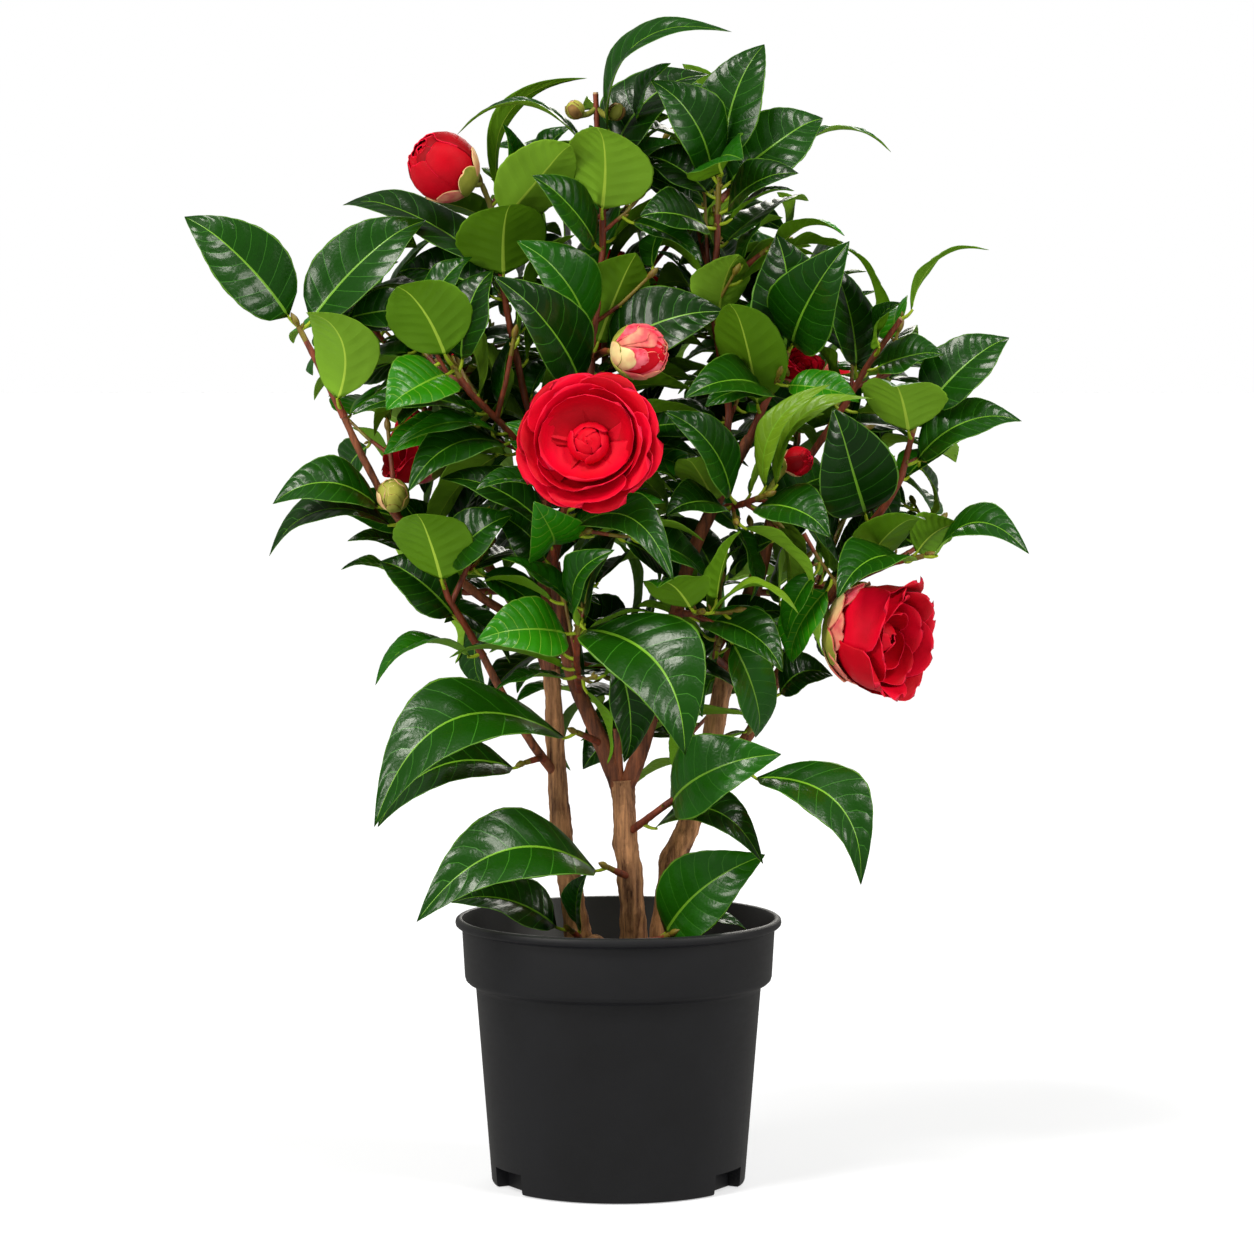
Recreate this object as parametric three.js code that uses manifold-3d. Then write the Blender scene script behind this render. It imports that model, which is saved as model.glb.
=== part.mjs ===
// Camellia shrub in a round nursery pot. Millimetres, +Z up, -Y is the front.
// The origin is the centre of the pot's flat underside.
//
// Three stems rise from the soil and fork into boughs. Every bough or stem carries
// masses of foliage: a twig that starts 0.3 mm clear of its limb, side twigs and
// leaves set round it by a seeded spiral, and the flowers and buds that show.
import * as THREE from 'three';
import Module from 'manifold-3d';

const wasm = await Module();
wasm.setup();

// ---------------------------------------------------------------- driving sizes
const GAP = 0.3; // air between neighbouring solids
const POT_HEIGHT = 155;
const POT_LIP_RADIUS = 95;
const POT_BODY_TOP = 83; // body radius under the collar
const POT_BODY_FOOT = 73.8; // body radius at the foot
const COLLAR_HEIGHT = 39;
const WALL = 1.6;
const NOTCH_HEIGHT = 12;
const NOTCH_DEPTH = 9;
const NOTCH_WIDTH = 30;
const SOIL_TOP = 128;
const POT_INSIDE = 91; // radius that foliage keeps clear of, below the lip
const POT_SIDES = 36;

const LEAF_THICKNESS = 1.3; // along the midrib
const LEAF_FOLD = 0.26; // rise of the blade's edges over its half width
const LEAF_ARCH = 0.1; // rise of the blade's middle over its length
const PETIOLE = 8;
const PETIOLE_RADIUS = 1.1;
const STALK_RISE = 4; // from the twig's middle to the stalk's full width
const ROOT_DEPTH = 0.8; // past the twig's middle
const CLEAR = 5.5; // between the sampled points of two leaves
const SET_CLEAR = 3.6; // the same for the leaves whose places are set
const TWIG_CLEAR = 4.5; // between a leaf and the twigs of its own mass
const ROOT_SAMPLES = 35; // samples near a leaf's root, which may touch its twig
const BASE_SAMPLES = 15; // the first of them, which may touch the next leaf's root
const FRONT_LIMIT = -12; // leaves dealt by the rule stay behind this depth
const SPIRAL = 137.5; // degrees from one leaf to the next
const LEAF_STEP = 13; // along a twig, from one leaf to the next
const LEANS = [0, -10, 10, -20, 20, -30, 30, -40, 40]; // shifts of a leaf's tip in depth

// Crown: height, left edge, right edge and half depth of the space it fills.
const CROWN = [
  [215, -60, 70, 70],
  [260, -80, 90, 100],
  [310, -112, 138, 145],
  [370, -172, 205, 178],
  [430, -178, 212, 188],
  [500, -205, 200, 180],
  [560, -160, 130, 150],
  [610, -75, 108, 100],
  [655, -20, 70, 50],
];

// Limbs: points up the middle, radius at the foot and at the tip.
const LIMBS = {
  "stem_front": { "path": [[9, -6, 122], [8, -9, 165], [4, -11, 205], [2, -11, 236]], "radius": [7.6, 6.8], "flare": 1.5 },
  "stem_left": { "path": [[-20, 6, 122], [-27, 8, 165], [-34, 11, 210], [-38, 14, 280], [-42, 15, 345], [-43, 16, 400]], "radius": [7.2, 3.8], "flare": 1.6 },
  "stem_right": { "path": [[24, 28, 122], [32, 30, 180], [48, 30, 222], [61, 28, 285], [76, 26, 332], [90, 22, 384], [103, 18, 410]], "radius": [7.2, 3.8], "flare": 1.4 },
  "bough_front_left": { "path": [[1, -11, 230], [-10, -11, 258], [-24, -9, 290], [-32, -7, 320], [-37, -5, 362]], "radius": [5.2, 3.4], "flare": 1 },
  "bough_front_right": { "path": [[3, -11, 230], [14, -12, 256], [26, -12, 300], [41, -8, 362], [60, -3, 404], [76, 0, 434]], "radius": [5, 3.2], "flare": 1 },
  "bough_left_high": { "path": [[-40, 14, 316], [-62, 6, 330], [-88, -1, 348], [-126, -6, 386], [-146, -8, 420], [-158, -9, 446]], "radius": [2.8, 1.9], "flare": 1.2 },
  "bough_left_low": { "path": [[-36, 12, 236], [-50, 0, 256], [-66, -8, 284], [-78, -14, 308]], "radius": [2.8, 2.1], "flare": 1.2 },
  "bough_right": { "path": [[49, 30, 225], [78, 20, 262], [96, 13, 300], [119, 4, 336], [143, -3, 380]], "radius": [3.8, 2.6], "flare": 1.2 },
  "bough_back_left": { "path": [[-38, 14, 290], [-52, 42, 320], [-78, 74, 356], [-98, 98, 392]], "radius": [3.8, 2.6], "flare": 1.2 },
  "bough_back_mid": { "path": [[-42, 15, 350], [-34, 44, 384], [-16, 68, 424], [-8, 80, 462]], "radius": [3.6, 2.6], "flare": 1.2 },
  "bough_back_right": { "path": [[62, 28, 290], [70, 58, 320], [84, 88, 356], [98, 112, 392]], "radius": [3.8, 2.6], "flare": 1.2 },
};

// Cut stub of a lost leader, in the fork of the front stem.
const PRUNED_STUB = [[2, -11, 226], [0, -12.5, 248], [-1, -14, 266]];
const STUB_RADIUS = 2.5;

// Masses of foliage. "side" is the number of side twigs and "more" the most leaves that
// the seeded rule adds, none of them before the depth "front". A twig is a list of
// points. A leaf is [twig, place along it 0 to 1, tip x, y, z, width, turn, bow, tone]:
// its upper side faces the front at a turn of 0, upward at 90 and the back at 180, and
// its middle stands up by the share "bow" of its length. The tone runs from 0, darkest,
// to 4, and -1 leaves it open. A bloom is [kind, twig, centre x, y, z, diameter,
// facing x, y, z].
const MASSES = [
  { "name": "foliage_far_left", "seed": 11, "side": 1, "more": 5,
    "twigs": [[[-158, -9, 446.5], [-172, -10, 475], [-184, -10, 498]]],
    "leaves": [
      [0, 1, -246, -22, 562, 45, 25, 0, 1], [0, 0.95, -113, 2, 562, 44, 30, 0, 1],
      [0, 0.06, -175, -56, 509, 40, 158, 0.15, -1]],
    "blooms": [] },
  { "name": "foliage_left", "seed": 12, "side": 1, "more": 6,
    "twigs": [[[-116, -6, 376], [-126, -13, 388], [-131, -20, 396]]],
    "leaves": [
      [0, 0.9, -197, -34, 399, 38, 50, 0.16, 1], [0, 0.4, -201, -24, 371, 36, 62, 0.14, 0]],
    "blooms": [["bud_green", 0, -129, -28, 402, 19, -0.2, -0.5, 0.8]] },
  { "name": "foliage_left_mid", "seed": 13, "side": 2, "more": 9, "front": -45,
    "twigs": [[[-43, 12, 396], [-62, -8, 437], [-85, -22, 460], [-95, -26, 476]]],
    "leaves": [
      [0, 1, -124, -62, 523, 50, 162, 0, -1], [0, 0.95, -130, -66, 454, 42, 35, 0, 3],
      [0, 0.5, -151, -40, 450, 28, 60, 0.05, 1], [0, 0.3, -119, -50, 408, 34, 45, 0.1, 1],
      [0, 0.34, -128, -30, 430, 20, 60, 0.04, 2], [0, 0.12, -82, -34, 404, 26, 70, 0, 1],
      [0, 0.9, -74, -32, 531, 40, 40, 0, 0]],
    "blooms": [["flower_side", 0, -119, 26, 426, 38, -0.85, -0.35, 0.35]] },
  { "name": "foliage_left_low", "seed": 14, "side": 1, "more": 6, "front": -40,
    "twigs": [[[-78, -14, 308.5], [-88, -20, 326], [-98, -25, 343], [-103, -28, 360]]],
    "leaves": [
      [0, 0.75, -113, -66, 394, 48, 158, 0, -1], [0, 0.35, -136, -36, 365, 42, 42, 0, 0],
      [0, 0.03, -139, -46, 298, 28, 80, 0.14, 2], [0, 0.95, -62, -42, 392, 36, 40, 0, 1]],
    "blooms": [] },
  { "name": "foliage_top_left", "seed": 15, "side": 1, "more": 7,
    "twigs": [[[-43, 16, 401], [-46, 14, 428], [-54, 8, 456], [-63, 2, 500], [-67, 2, 522], [-70, 8, 558], [-79, 12, 580]]],
    "leaves": [
      [0, 0.66, -62, -34, 569, 54, 163, 0, -1], [0, 0.82, -27, -30, 604, 42, 158, 0, -1],
      [0, 0.9, -21, 20, 643, 28, 128, 0.16, 4], [0, 0.7, -161, 44, 574, 34, 50, 0.04, 0],
      [0, 0.6, -128, 14, 532, 38, 40, 0, 0]],
    "blooms": [["bud_opening", 0, -101, 2, 590, 41, -0.72, -0.42, 0.55]] },
  { "name": "foliage_top", "seed": 16, "side": 2, "more": 10, "front": -30,
    "twigs": [
      [[-37, -5, 362.5], [-28, 2, 410], [-16, 2, 470], [-9, 0, 541], [-9, -2, 578], [-12, -4, 606], [-13, -5, 631]],
      [[-14, 1, 480], [-8, -28, 484], [-3, -46, 484]]],
    "leaves": [
      [0, 0.58, -10, -52, 613, 54, 158, 0, -1], [0, 0.83, 59, -6, 668, 30, 62, 0.18, 1],
      [0, 0.72, 51, 14, 645, 46, 44, 0.08, 0], [0, 0.8, -92, -10, 613, 22, 80, 0.16, 1],
      [0, 0.5, -47, -20, 584, 36, 50, 0, 1], [0, 0.38, -54, -38, 547, 44, 40, 0, 2],
      [0, 0.3, -65, -46, 526, 44, 38, 0, 0], [0, 0.36, 10, -34, 541, 46, 165, 0, -1],
      [1, 0.02, 60, -16, 508, 46, 30, 0, 0]],
    "blooms": [
      ["bud_small", 0, -25, -8, 622, 11, -0.6, -0.3, 0.7], ["bud_small", 0, -1, -6, 621, 10, 0.4, -0.3, 0.85],
      ["bud_tight", 1, 13, -58, 484, 33, 0.86, -0.45, 0.1]] },
  { "name": "foliage_top_right", "seed": 17, "side": 1, "more": 7, "front": -20,
    "twigs": [
      [[60, -3, 406], [64, 0, 450], [54, 0, 508], [57, -1, 546], [58, -4, 588]],
      [[55, 0, 514], [73, 2, 532], [87, 4, 543]],
      [[58, -2, 570], [76, 14, 586], [90, 20, 594]]],
    "leaves": [
      [0, 1, 83, 6, 661, 42, 28, 0, 1], [0, 0.95, 22, -14, 638, 42, 38, 0, 1],
      [0, 0.93, 117, -16, 620, 48, 32, 0, 1], [2, 0.95, 158, 24, 603, 22, 80, 0.12, 2],
      [0, 0.98, 68, -60, 594, 40, 92, 0, 2], [0, 0.85, 100, -36, 587, 34, 55, 0, 0],
      [0, 0.8, 13, -32, 562, 36, 50, 0, 0], [1, 0.9, 129, -22, 552, 24, 100, 0.14, 3],
      [0, 0.9, 14, 18, 598, 38, 50, 0, 0], [0, 0.46, 68, -42, 540, 38, 148, 0, -1]],
    "blooms": [["bud_pink", 2, 77, 20, 612, 15, 0.3, 0, 0.9]] },
  { "name": "foliage_mid_right", "seed": 18, "side": 0, "more": 6, "front": -40,
    "twigs": [[[76.2, 0, 434.5], [86, 1, 456], [94, 0, 470], [98, -2, 484]]],
    "leaves": [
      [0, 0.8, 92, -8, 550, 52, 18, 0, 0], [0, 0.97, 126, -52, 543, 44, 20, 0, 1],
      [0, 0.2, 64, -42, 514, 42, 156, 0, -1], [0, 0.45, 40, -40, 462, 36, 50, 0, 1]],
    "blooms": [["flower_side", 0, 106, 16, 474, 22, 0.3, -0.5, 0.7]] },
  { "name": "foliage_upper_right", "seed": 19, "side": 1, "more": 8,
    "twigs": [[[103, 18, 410.5], [120, 12, 435], [133, 10, 455], [144, 6, 475], [163, 0, 502]]],
    "leaves": [
      [0, 0.85, 129, -14, 547, 26, 98, 0.08, 1], [0, 1, 210, -16, 545, 18, 116, 0.1, 4],
      [0, 0.65, 124, -12, 534, 38, 45, 0, 0], [0, 0.72, 186, -12, 484, 36, 58, 0, 1],
      [0, 0.8, 160, -30, 512, 20, 80, 0.06, 0]],
    "blooms": [] },
  { "name": "foliage_right", "seed": 20, "side": 1, "more": 8,
    "twigs": [[[143, -3, 380.5], [155, -7, 396], [163, -8, 410], [168, -8, 430], [172, -8, 446]]],
    "leaves": [
      [0, 1, 225, -10, 493, 40, 35, 0, 1], [0, 0.6, 230, -18, 447, 38, 52, 0.05, 1],
      [0, 0.8, 156, -56, 467, 50, 154, 0, -1], [0, 0.04, 124, -40, 450, 50, 14, 0, 0]],
    "blooms": [] },
  { "name": "foliage_right_low", "seed": 21, "side": 1, "more": 7,
    "twigs": [
      [[119, 2, 336], [136, -8, 352], [158, -12, 362], [176, -14, 366]],
      [[120, 1, 338], [120, -8, 331], [123, -15, 324]]],
    "leaves": [
      [0, 0.3, 174, -52, 392, 32, 142, 0.05, -1], [0, 0.8, 196, -60, 386, 30, 146, 0.03, -1],
      [0, 1, 232, -24, 372, 34, 58, 0.2, 1], [0, 0.9, 124, -44, 350, 36, 58, 0.05, 1]],
    "blooms": [["flower_cup", 1, 151, -26, 320, 62, 0.86, -0.5, -0.14]] },
  { "name": "foliage_front", "seed": 22, "side": 2, "more": 10, "front": -70,
    "twigs": [[[-36, -8, 350], [-37, -28, 370], [-29, -50, 400], [-20, -66, 426]]],
    "leaves": [
      [0, 0.33, -46, -90, 399, 38, 14, 0, 3], [0, 0.5, 30, -92, 361, 32, 42, 0.16, 1],
      [0, 0.66, -80, -84, 408, 24, 70, 0.05, 1], [0, 0.15, -70, -40, 392, 34, 30, 0, 1],
      [0, 0.4, 26, -56, 400, 30, 60, 0, 3]],
    "blooms": [["flower_open", 0, -18, -88, 436, 76, -0.16, -0.92, 0.26]] },
  { "name": "foliage_front_low", "seed": 23, "side": 1, "more": 6, "front": -60,
    "twigs": [[[-22, -13, 286], [-24, -34, 306], [-23, -54, 332]]],
    "leaves": [
      [0, 1, 38, -106, 263, 58, 30, 0.16, 1], [0, 0.85, -77, -84, 325, 40, 36, -0.02, 3],
      [0, 0.9, -6, -100, 374, 32, 60, 0.1, 1]],
    "blooms": [] },
  { "name": "foliage_centre_right", "seed": 24, "side": 1, "more": 8, "front": -50,
    "twigs": [[[56, -8, 392], [70, -24, 396], [84, -38, 402]]],
    "leaves": [
      [0, 0.85, 116, -66, 466, 30, 40, 0.1, 4], [0, 1, 142, -52, 460, 28, 52, 0.12, 4],
      [0, 0.1, 39, -48, 425, 32, 150, 0, -1], [0, 0.6, 120, -56, 382, 38, 50, 0.08, 1],
      [0, 0.35, 28, -56, 394, 32, 55, 0, 0], [0, 0.45, 29, -40, 451, 34, 45, 0.05, 1]],
    "blooms": [["bud_opening", 0, 103, -22, 421, 17, 0.7, -0.6, 0.3]] },
  { "name": "foliage_centre_low", "seed": 25, "side": 1, "more": 6, "front": -60,
    "twigs": [[[35, -14, 332], [40, -34, 334], [46, -48, 336]]],
    "leaves": [
      [0, 1, 102, -66, 338, 30, 80, 0.18, 4], [0, 0.9, 22, -92, 356, 38, 140, 0, -1],
      [0, 0.5, 94, -56, 304, 36, 50, 0.1, 1]],
    "blooms": [] },
  { "name": "foliage_low_right", "seed": 26, "side": 0, "more": 3,
    "twigs": [[[10, -16, 206], [20, -30, 218], [44, -46, 238], [73, -52, 247]]],
    "leaves": [
      [0, 0.15, 82, -62, 197, 36, 55, 0.18, 0], [0, 0.4, 88, -80, 259, 46, 34, 0.06, 2],
      [0, 1, 139, -80, 187, 44, 42, 0.16, 1], [0, 0.6, 33, -60, 272, 22, 150, 0, -1]],
    "blooms": [] },
  { "name": "foliage_low_left", "seed": 27, "side": 0, "more": 3,
    "twigs": [[[-11, -15, 256], [-17, -24, 262], [-24, -34, 266]]],
    "leaves": [
      [0, 1, -137, -92, 221, 56, 46, 0.22, 1]],
    "blooms": [] },
  { "name": "foliage_stem_left", "seed": 31, "side": 0, "more": 3, "front": -20,
    "twigs": [[[-40, 5, 250], [-46, -4, 248], [-54, -10, 246]]],
    "leaves": [
      [0, 1, -138, -44, 216, 44, 50, 0.12, 0]],
    "blooms": [] },
  { "name": "foliage_stem_right", "seed": 32, "side": 1, "more": 6, "front": -30,
    "twigs": [[[60, 20, 300], [56, 8, 306], [58, -4, 314]]],
    "leaves": [
      [0, 0.6, 98, 0, 334, 34, 50, 0.1, 0], [0, 0.8, 46, -30, 276, 26, 60, 0, 2]],
    "blooms": [] },
  { "name": "foliage_right_under", "seed": 33, "side": 0, "more": 3, "front": -20,
    "twigs": [[[92, 12, 288], [90, 4, 286], [86, -4, 283]]],
    "leaves": [
      [0, 1, 124, -4, 297, 34, 50, 0.1, 0], [0, 0.6, 66, -20, 330, 34, 50, 0, 0]],
    "blooms": [] },
  { "name": "foliage_foot_left", "seed": 28, "side": 0, "more": 2,
    "twigs": [[[4, -18, 180], [0, -26, 184], [-6, -34, 188]]],
    "leaves": [
      [0, 1, -112, -92, 168, 50, 40, 0.17, 1]],
    "blooms": [] },
  { "name": "foliage_foot_right", "seed": 29, "side": 0, "more": 2,
    "twigs": [[[16, -10, 140], [24, -18, 144], [30, -26, 148]]],
    "leaves": [
      [0, 0.35, 81, -48, 197, 46, 26, 0, 2], [0, 0.5, 74, -24, 152, 28, 80, 0.06, 1]],
    "blooms": [] },
  { "name": "foliage_foot_mid", "seed": 30, "side": 0, "more": 2,
    "twigs": [[[-22, 0, 141], [-24, -16, 146], [-28, -22, 150]]],
    "leaves": [
      [0, 1, -96, -24, 168, 40, 56, 0.06, 0], [0, 0.4, -21, -42, 184, 24, 60, 0, 1]],
    "blooms": [] },
  { "name": "foliage_back_left", "seed": 41, "side": 4, "more": 22,
    "twigs": [[[-98, 98, 392.5], [-112, 110, 424], [-120, 112, 460], [-122, 106, 492]]],
    "leaves": [], "blooms": [["flower_cup", 0, -92, 150, 462, 44, -0.3, 0.9, 0.3]] },
  { "name": "foliage_back_left_low", "seed": 42, "side": 3, "more": 16,
    "twigs": [[[-66, 61, 344], [-92, 64, 340], [-120, 62, 348]]],
    "leaves": [], "blooms": [] },
  { "name": "foliage_back_mid", "seed": 43, "side": 4, "more": 24,
    "twigs": [[[-8, 80, 462.5], [-8, 88, 500], [-14, 84, 540], [-20, 74, 576]]],
    "leaves": [], "blooms": [["flower_open", 0, -4, 132, 512, 62, 0.1, 0.95, 0.2]] },
  { "name": "foliage_back_right", "seed": 44, "side": 4, "more": 22,
    "twigs": [[[98, 112, 392.5], [108, 118, 428], [108, 112, 464], [100, 96, 500]]],
    "leaves": [], "blooms": [["bud_opening", 0, 126, 138, 460, 36, 0.5, 0.8, 0.3]] },
  { "name": "foliage_back_right_low", "seed": 45, "side": 3, "more": 16,
    "twigs": [[[78, 74, 340], [104, 82, 338], [130, 84, 346]]],
    "leaves": [], "blooms": [] },
  { "name": "foliage_back_low", "seed": 46, "side": 3, "more": 12,
    "twigs": [[[52, 33, 240], [40, 62, 262], [20, 84, 284], [4, 96, 306]]],
    "leaves": [
      [0, 0.5, -22, 62, 236, 42, 40, 0, 0], [0, 0.9, -32, 72, 332, 42, 40, 0, 0]],
    "blooms": [] },
  { "name": "foliage_back_centre", "seed": 47, "side": 3, "more": 16,
    "twigs": [[[-36, 52, 392], [-30, 84, 390], [-22, 112, 396]]],
    "leaves": [], "blooms": [] },
];

// ---------------------------------------------------------------- small helpers
const vec = (p) => new THREE.Vector3(p[0], p[1], p[2]);
const degrees = Math.PI / 180;

// Numbers from 0 to 1 that follow from the seed.
function seededNumbers(seed) {
  let state = seed * 7919 + 17;
  return () => {
    state = (state * 1664525 + 1013904223) % 4294967296;
    return state / 4294967296;
  };
}

// Point on the smooth curve through a list of points, t from 0 to 1.
function pointOn(path, t) {
  const spans = path.length - 1;
  const place = Math.min(Math.max(t, 0), 1) * spans;
  const i = Math.min(Math.floor(place), spans - 1);
  const f = place - i;
  const before = path[Math.max(i - 1, 0)];
  const after = path[Math.min(i + 2, spans)];
  return vec([0, 1, 2].map((k) => {
    const [a, b, c, d] = [before[k], path[i][k], path[i + 1][k], after[k]];
    return 0.5 * (2 * b + (c - a) * f + (2 * a - 5 * b + 4 * c - d) * f * f
      + (3 * b - a - 3 * c + d) * f * f * f);
  }));
}

function directionOn(path, t) {
  const step = 0.02;
  return pointOn(path, t + step).sub(pointOn(path, t - step)).normalize();
}

// Point on a twig, which runs straight from node to node.
function twigPoint(path, t) {
  const place = Math.min(Math.max(t, 0), 1) * (path.length - 1);
  const i = Math.min(Math.floor(place), path.length - 2);
  return vec(path[i]).lerp(vec(path[i + 1]), place - i);
}

function lengthOf(path) {
  let sum = 0;
  for (let i = 1; i < path.length; i += 1) {
    sum += vec(path[i]).distanceTo(vec(path[i - 1]));
  }
  return sum;
}

// ---------------------------------------------------------------- closed solids
// Skins a row of rings, each a list of points. An end is flat, or closes on a point.
function solidFromRings(rings, tip, root) {
  const count = rings[0].length;
  const points = rings.flat();
  const faces = [];
  for (let j = 0; j + 1 < rings.length; j += 1) {
    for (let i = 0; i < count; i += 1) {
      const a = j * count + i;
      const b = j * count + (i + 1) % count;
      faces.push(a, b, a + count, b, b + count, a + count);
    }
  }
  const closeEnd = (first, point, order) => {
    const add = (a, b, c) => faces.push(...(order ? [a, b, c] : [b, a, c]));
    if (point) {
      points.push(point);
      for (let i = 0; i < count; i += 1) {
        add(first + i, first + (i + 1) % count, points.length - 1);
      }
      return;
    }
    for (let i = 1; i + 1 < count; i += 1) {
      add(first, first + i, first + i + 1);
    }
  };
  closeEnd(0, root, false);
  closeEnd((rings.length - 1) * count, tip, true);
  return solidFromFaces(points, faces);
}

function solidFromFaces(points, faces) {
  const build = (indices) => new wasm.Manifold(new wasm.Mesh({
    numProp: 3,
    vertProperties: new Float32Array(points.flatMap((p) => [p.x, p.y, p.z])),
    triVerts: new Uint32Array(indices),
  }));
  const solid = build(faces);
  if (solid.volume() > 0) {
    return solid;
  }
  const turned = [];
  for (let i = 0; i < faces.length; i += 3) {
    turned.push(faces[i], faces[i + 2], faces[i + 1]);
  }
  return build(turned);
}

// Round limb along a smooth path; radiusAt gives its radius at t.
function limbSolid(path, radiusAt, sides, steps, pointAt = pointOn) {
  const rings = [];
  let across = new THREE.Vector3(1, 0.17, 0.05);
  for (let j = 0; j <= steps; j += 1) {
    const t = j / steps;
    const centre = pointAt(path, t);
    const way = directionOn(path, t);
    across = across.clone().addScaledVector(way, -across.dot(way)).normalize();
    const other = new THREE.Vector3().crossVectors(way, across);
    const ring = [];
    for (let i = 0; i < sides; i += 1) {
      const angle = 2 * Math.PI * i / sides;
      ring.push(centre.clone().addScaledVector(across, radiusAt(t) * Math.cos(angle))
        .addScaledVector(other, radiusAt(t) * Math.sin(angle)));
    }
    rings.push(ring);
  }
  return solidFromRings(rings);
}

// ---------------------------------------------------------------- leaves
// Share of the greatest half width, from the blade's base at 0 to its tip at 1.
function outline(r) {
  return Math.pow(r, 0.6) * Math.pow(1 - r, 0.9) / 0.3644;
}

// Frame of a leaf from its twig, its tip, how it turns about its own axis and how far
// its middle stands up.
function leafFrame(root, tip, width, turn, bow = 0) {
  const axis = tip.clone().sub(root).normalize();
  const base = root.clone().addScaledVector(axis, PETIOLE);
  const front = new THREE.Vector3(0, -1, 0);
  front.addScaledVector(axis, -front.dot(axis)).normalize();
  const up = new THREE.Vector3().crossVectors(axis, front);
  if (up.z < 0) {
    up.negate();
  }
  const face = front.multiplyScalar(Math.cos(turn * degrees))
    .addScaledVector(up, Math.sin(turn * degrees));
  const across = new THREE.Vector3().crossVectors(axis, face);
  const length = base.distanceTo(tip);
  return { root, base, axis, face, across, width, length, lift: up.multiplyScalar(bow * length) };
}

// Point of the blade: r from base to tip, s from one edge to the other, -1 to 1.
function bladePoint(leaf, r, s) {
  const half = 0.5 * leaf.width * outline(r);
  const rise = LEAF_ARCH * leaf.length * 4 * r * (1 - r) + LEAF_FOLD * half * Math.abs(s);
  return leaf.base.clone().addScaledVector(leaf.axis, leaf.length * r)
    .addScaledVector(leaf.across, half * s).addScaledVector(leaf.face, rise)
    .addScaledVector(leaf.lift, 4 * r * (1 - r));
}

// A leaf is flat across its upper side, has a keel below it, and grows from a point
// inside its twig.
function leafSolid(leaf) {
  const section = (centre, half, keel) => [
    centre.clone().addScaledVector(leaf.across, -half),
    centre.clone().addScaledVector(leaf.across, half),
    centre.clone().addScaledVector(leaf.face, -keel)];
  const blade = (r) => [
    bladePoint(leaf, r, -1), bladePoint(leaf, r, 1),
    bladePoint(leaf, r, 0).addScaledVector(leaf.face, -LEAF_THICKNESS / 2)];
  const stalk = leaf.root.clone().addScaledVector(leaf.axis, STALK_RISE);
  return solidFromRings(
    [section(stalk, PETIOLE_RADIUS, 1.6 * PETIOLE_RADIUS), blade(0.26), blade(0.7)],
    bladePoint(leaf, 1, 0),
    leaf.root.clone().addScaledVector(leaf.axis, -ROOT_DEPTH),
  );
}

// ---------------------------------------------------------------- flowers and buds
// Egg-shaped bud round a facing direction.
function budSolid(centre, facing, diameter, stretch) {
  const sides = 7;
  const bands = 4;
  const radius = diameter / 2;
  const across = new THREE.Vector3(0.3, 0.2, 1).cross(facing).normalize();
  const other = new THREE.Vector3().crossVectors(facing, across);
  const rings = [];
  for (let j = 0; j < bands; j += 1) {
    const angle = Math.PI * (j + 0.6) / (bands + 0.6);
    const ring = [];
    for (let i = 0; i < sides; i += 1) {
      const round = 2 * Math.PI * i / sides;
      ring.push(centre.clone().addScaledVector(facing, -radius * stretch * Math.cos(angle))
        .addScaledVector(across, radius * Math.sin(angle) * Math.cos(round))
        .addScaledVector(other, radius * Math.sin(angle) * Math.sin(round)));
    }
    rings.push(ring);
  }
  return solidFromRings(rings, centre.clone().addScaledVector(facing, radius * stretch));
}

// Blooms as lobed bowls of petals. Each ring is [radius, height, depth of its lobes], in
// shares of the bloom's radius, from the back of the bowl to the petals in its middle.
const BOWLS = {
  flower_open: [[0.42, -0.4, 0], [0.82, -0.22, 0.1], [1, 0.04, 0.12], [0.7, 0.26, 0.1], [0.34, 0.42, 0]],
  flower_cup: [[0.3, -0.8, 0], [0.72, -0.62, 0.04], [0.96, -0.16, 0.06], [0.98, 0.5, 0.12], [0.6, 0.6, 0]],
};

function bowlSolid(centre, facing, diameter, bowl) {
  const sides = 12;
  const across = new THREE.Vector3(0.2, 0.1, 1).cross(facing).normalize();
  const other = new THREE.Vector3().crossVectors(facing, across);
  const rings = bowl.map(([radius, height, lobe], band) => {
    const ring = [];
    for (let i = 0; i < sides; i += 1) {
      const round = 2 * Math.PI * i / sides;
      const reach = diameter / 2 * radius * (1 - lobe * ((i + band) % 2));
      ring.push(centre.clone().addScaledVector(facing, diameter / 2 * height)
        .addScaledVector(across, reach * Math.cos(round))
        .addScaledVector(other, reach * Math.sin(round)));
    }
    return ring;
  });
  return solidFromRings(rings);
}

function bloomSolids(bloom, twigEnd) {
  const [kind, , x, y, z, diameter, fx, fy, fz] = bloom;
  const centre = vec([x, y, z]);
  const facing = vec([fx, fy, fz]).normalize();
  const stalkEnd = centre.clone().addScaledVector(facing, -diameter * 0.15);
  const stalk = limbSolid([twigEnd.toArray(), stalkEnd.toArray()], () => 1.6, 3, 1);
  const head = BOWLS[kind]
    ? bowlSolid(centre, facing, diameter, BOWLS[kind])
    : budSolid(centre, facing, diameter, 1.08);
  return [stalk, head];
}

// ---------------------------------------------------------------- the growing rule
// Points already taken up: x, y, z, radius and the mass that owns them.
const taken = [];

function take(point, radius, owner) {
  taken.push([point.x, point.y, point.z, radius, owner]);
}

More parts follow.
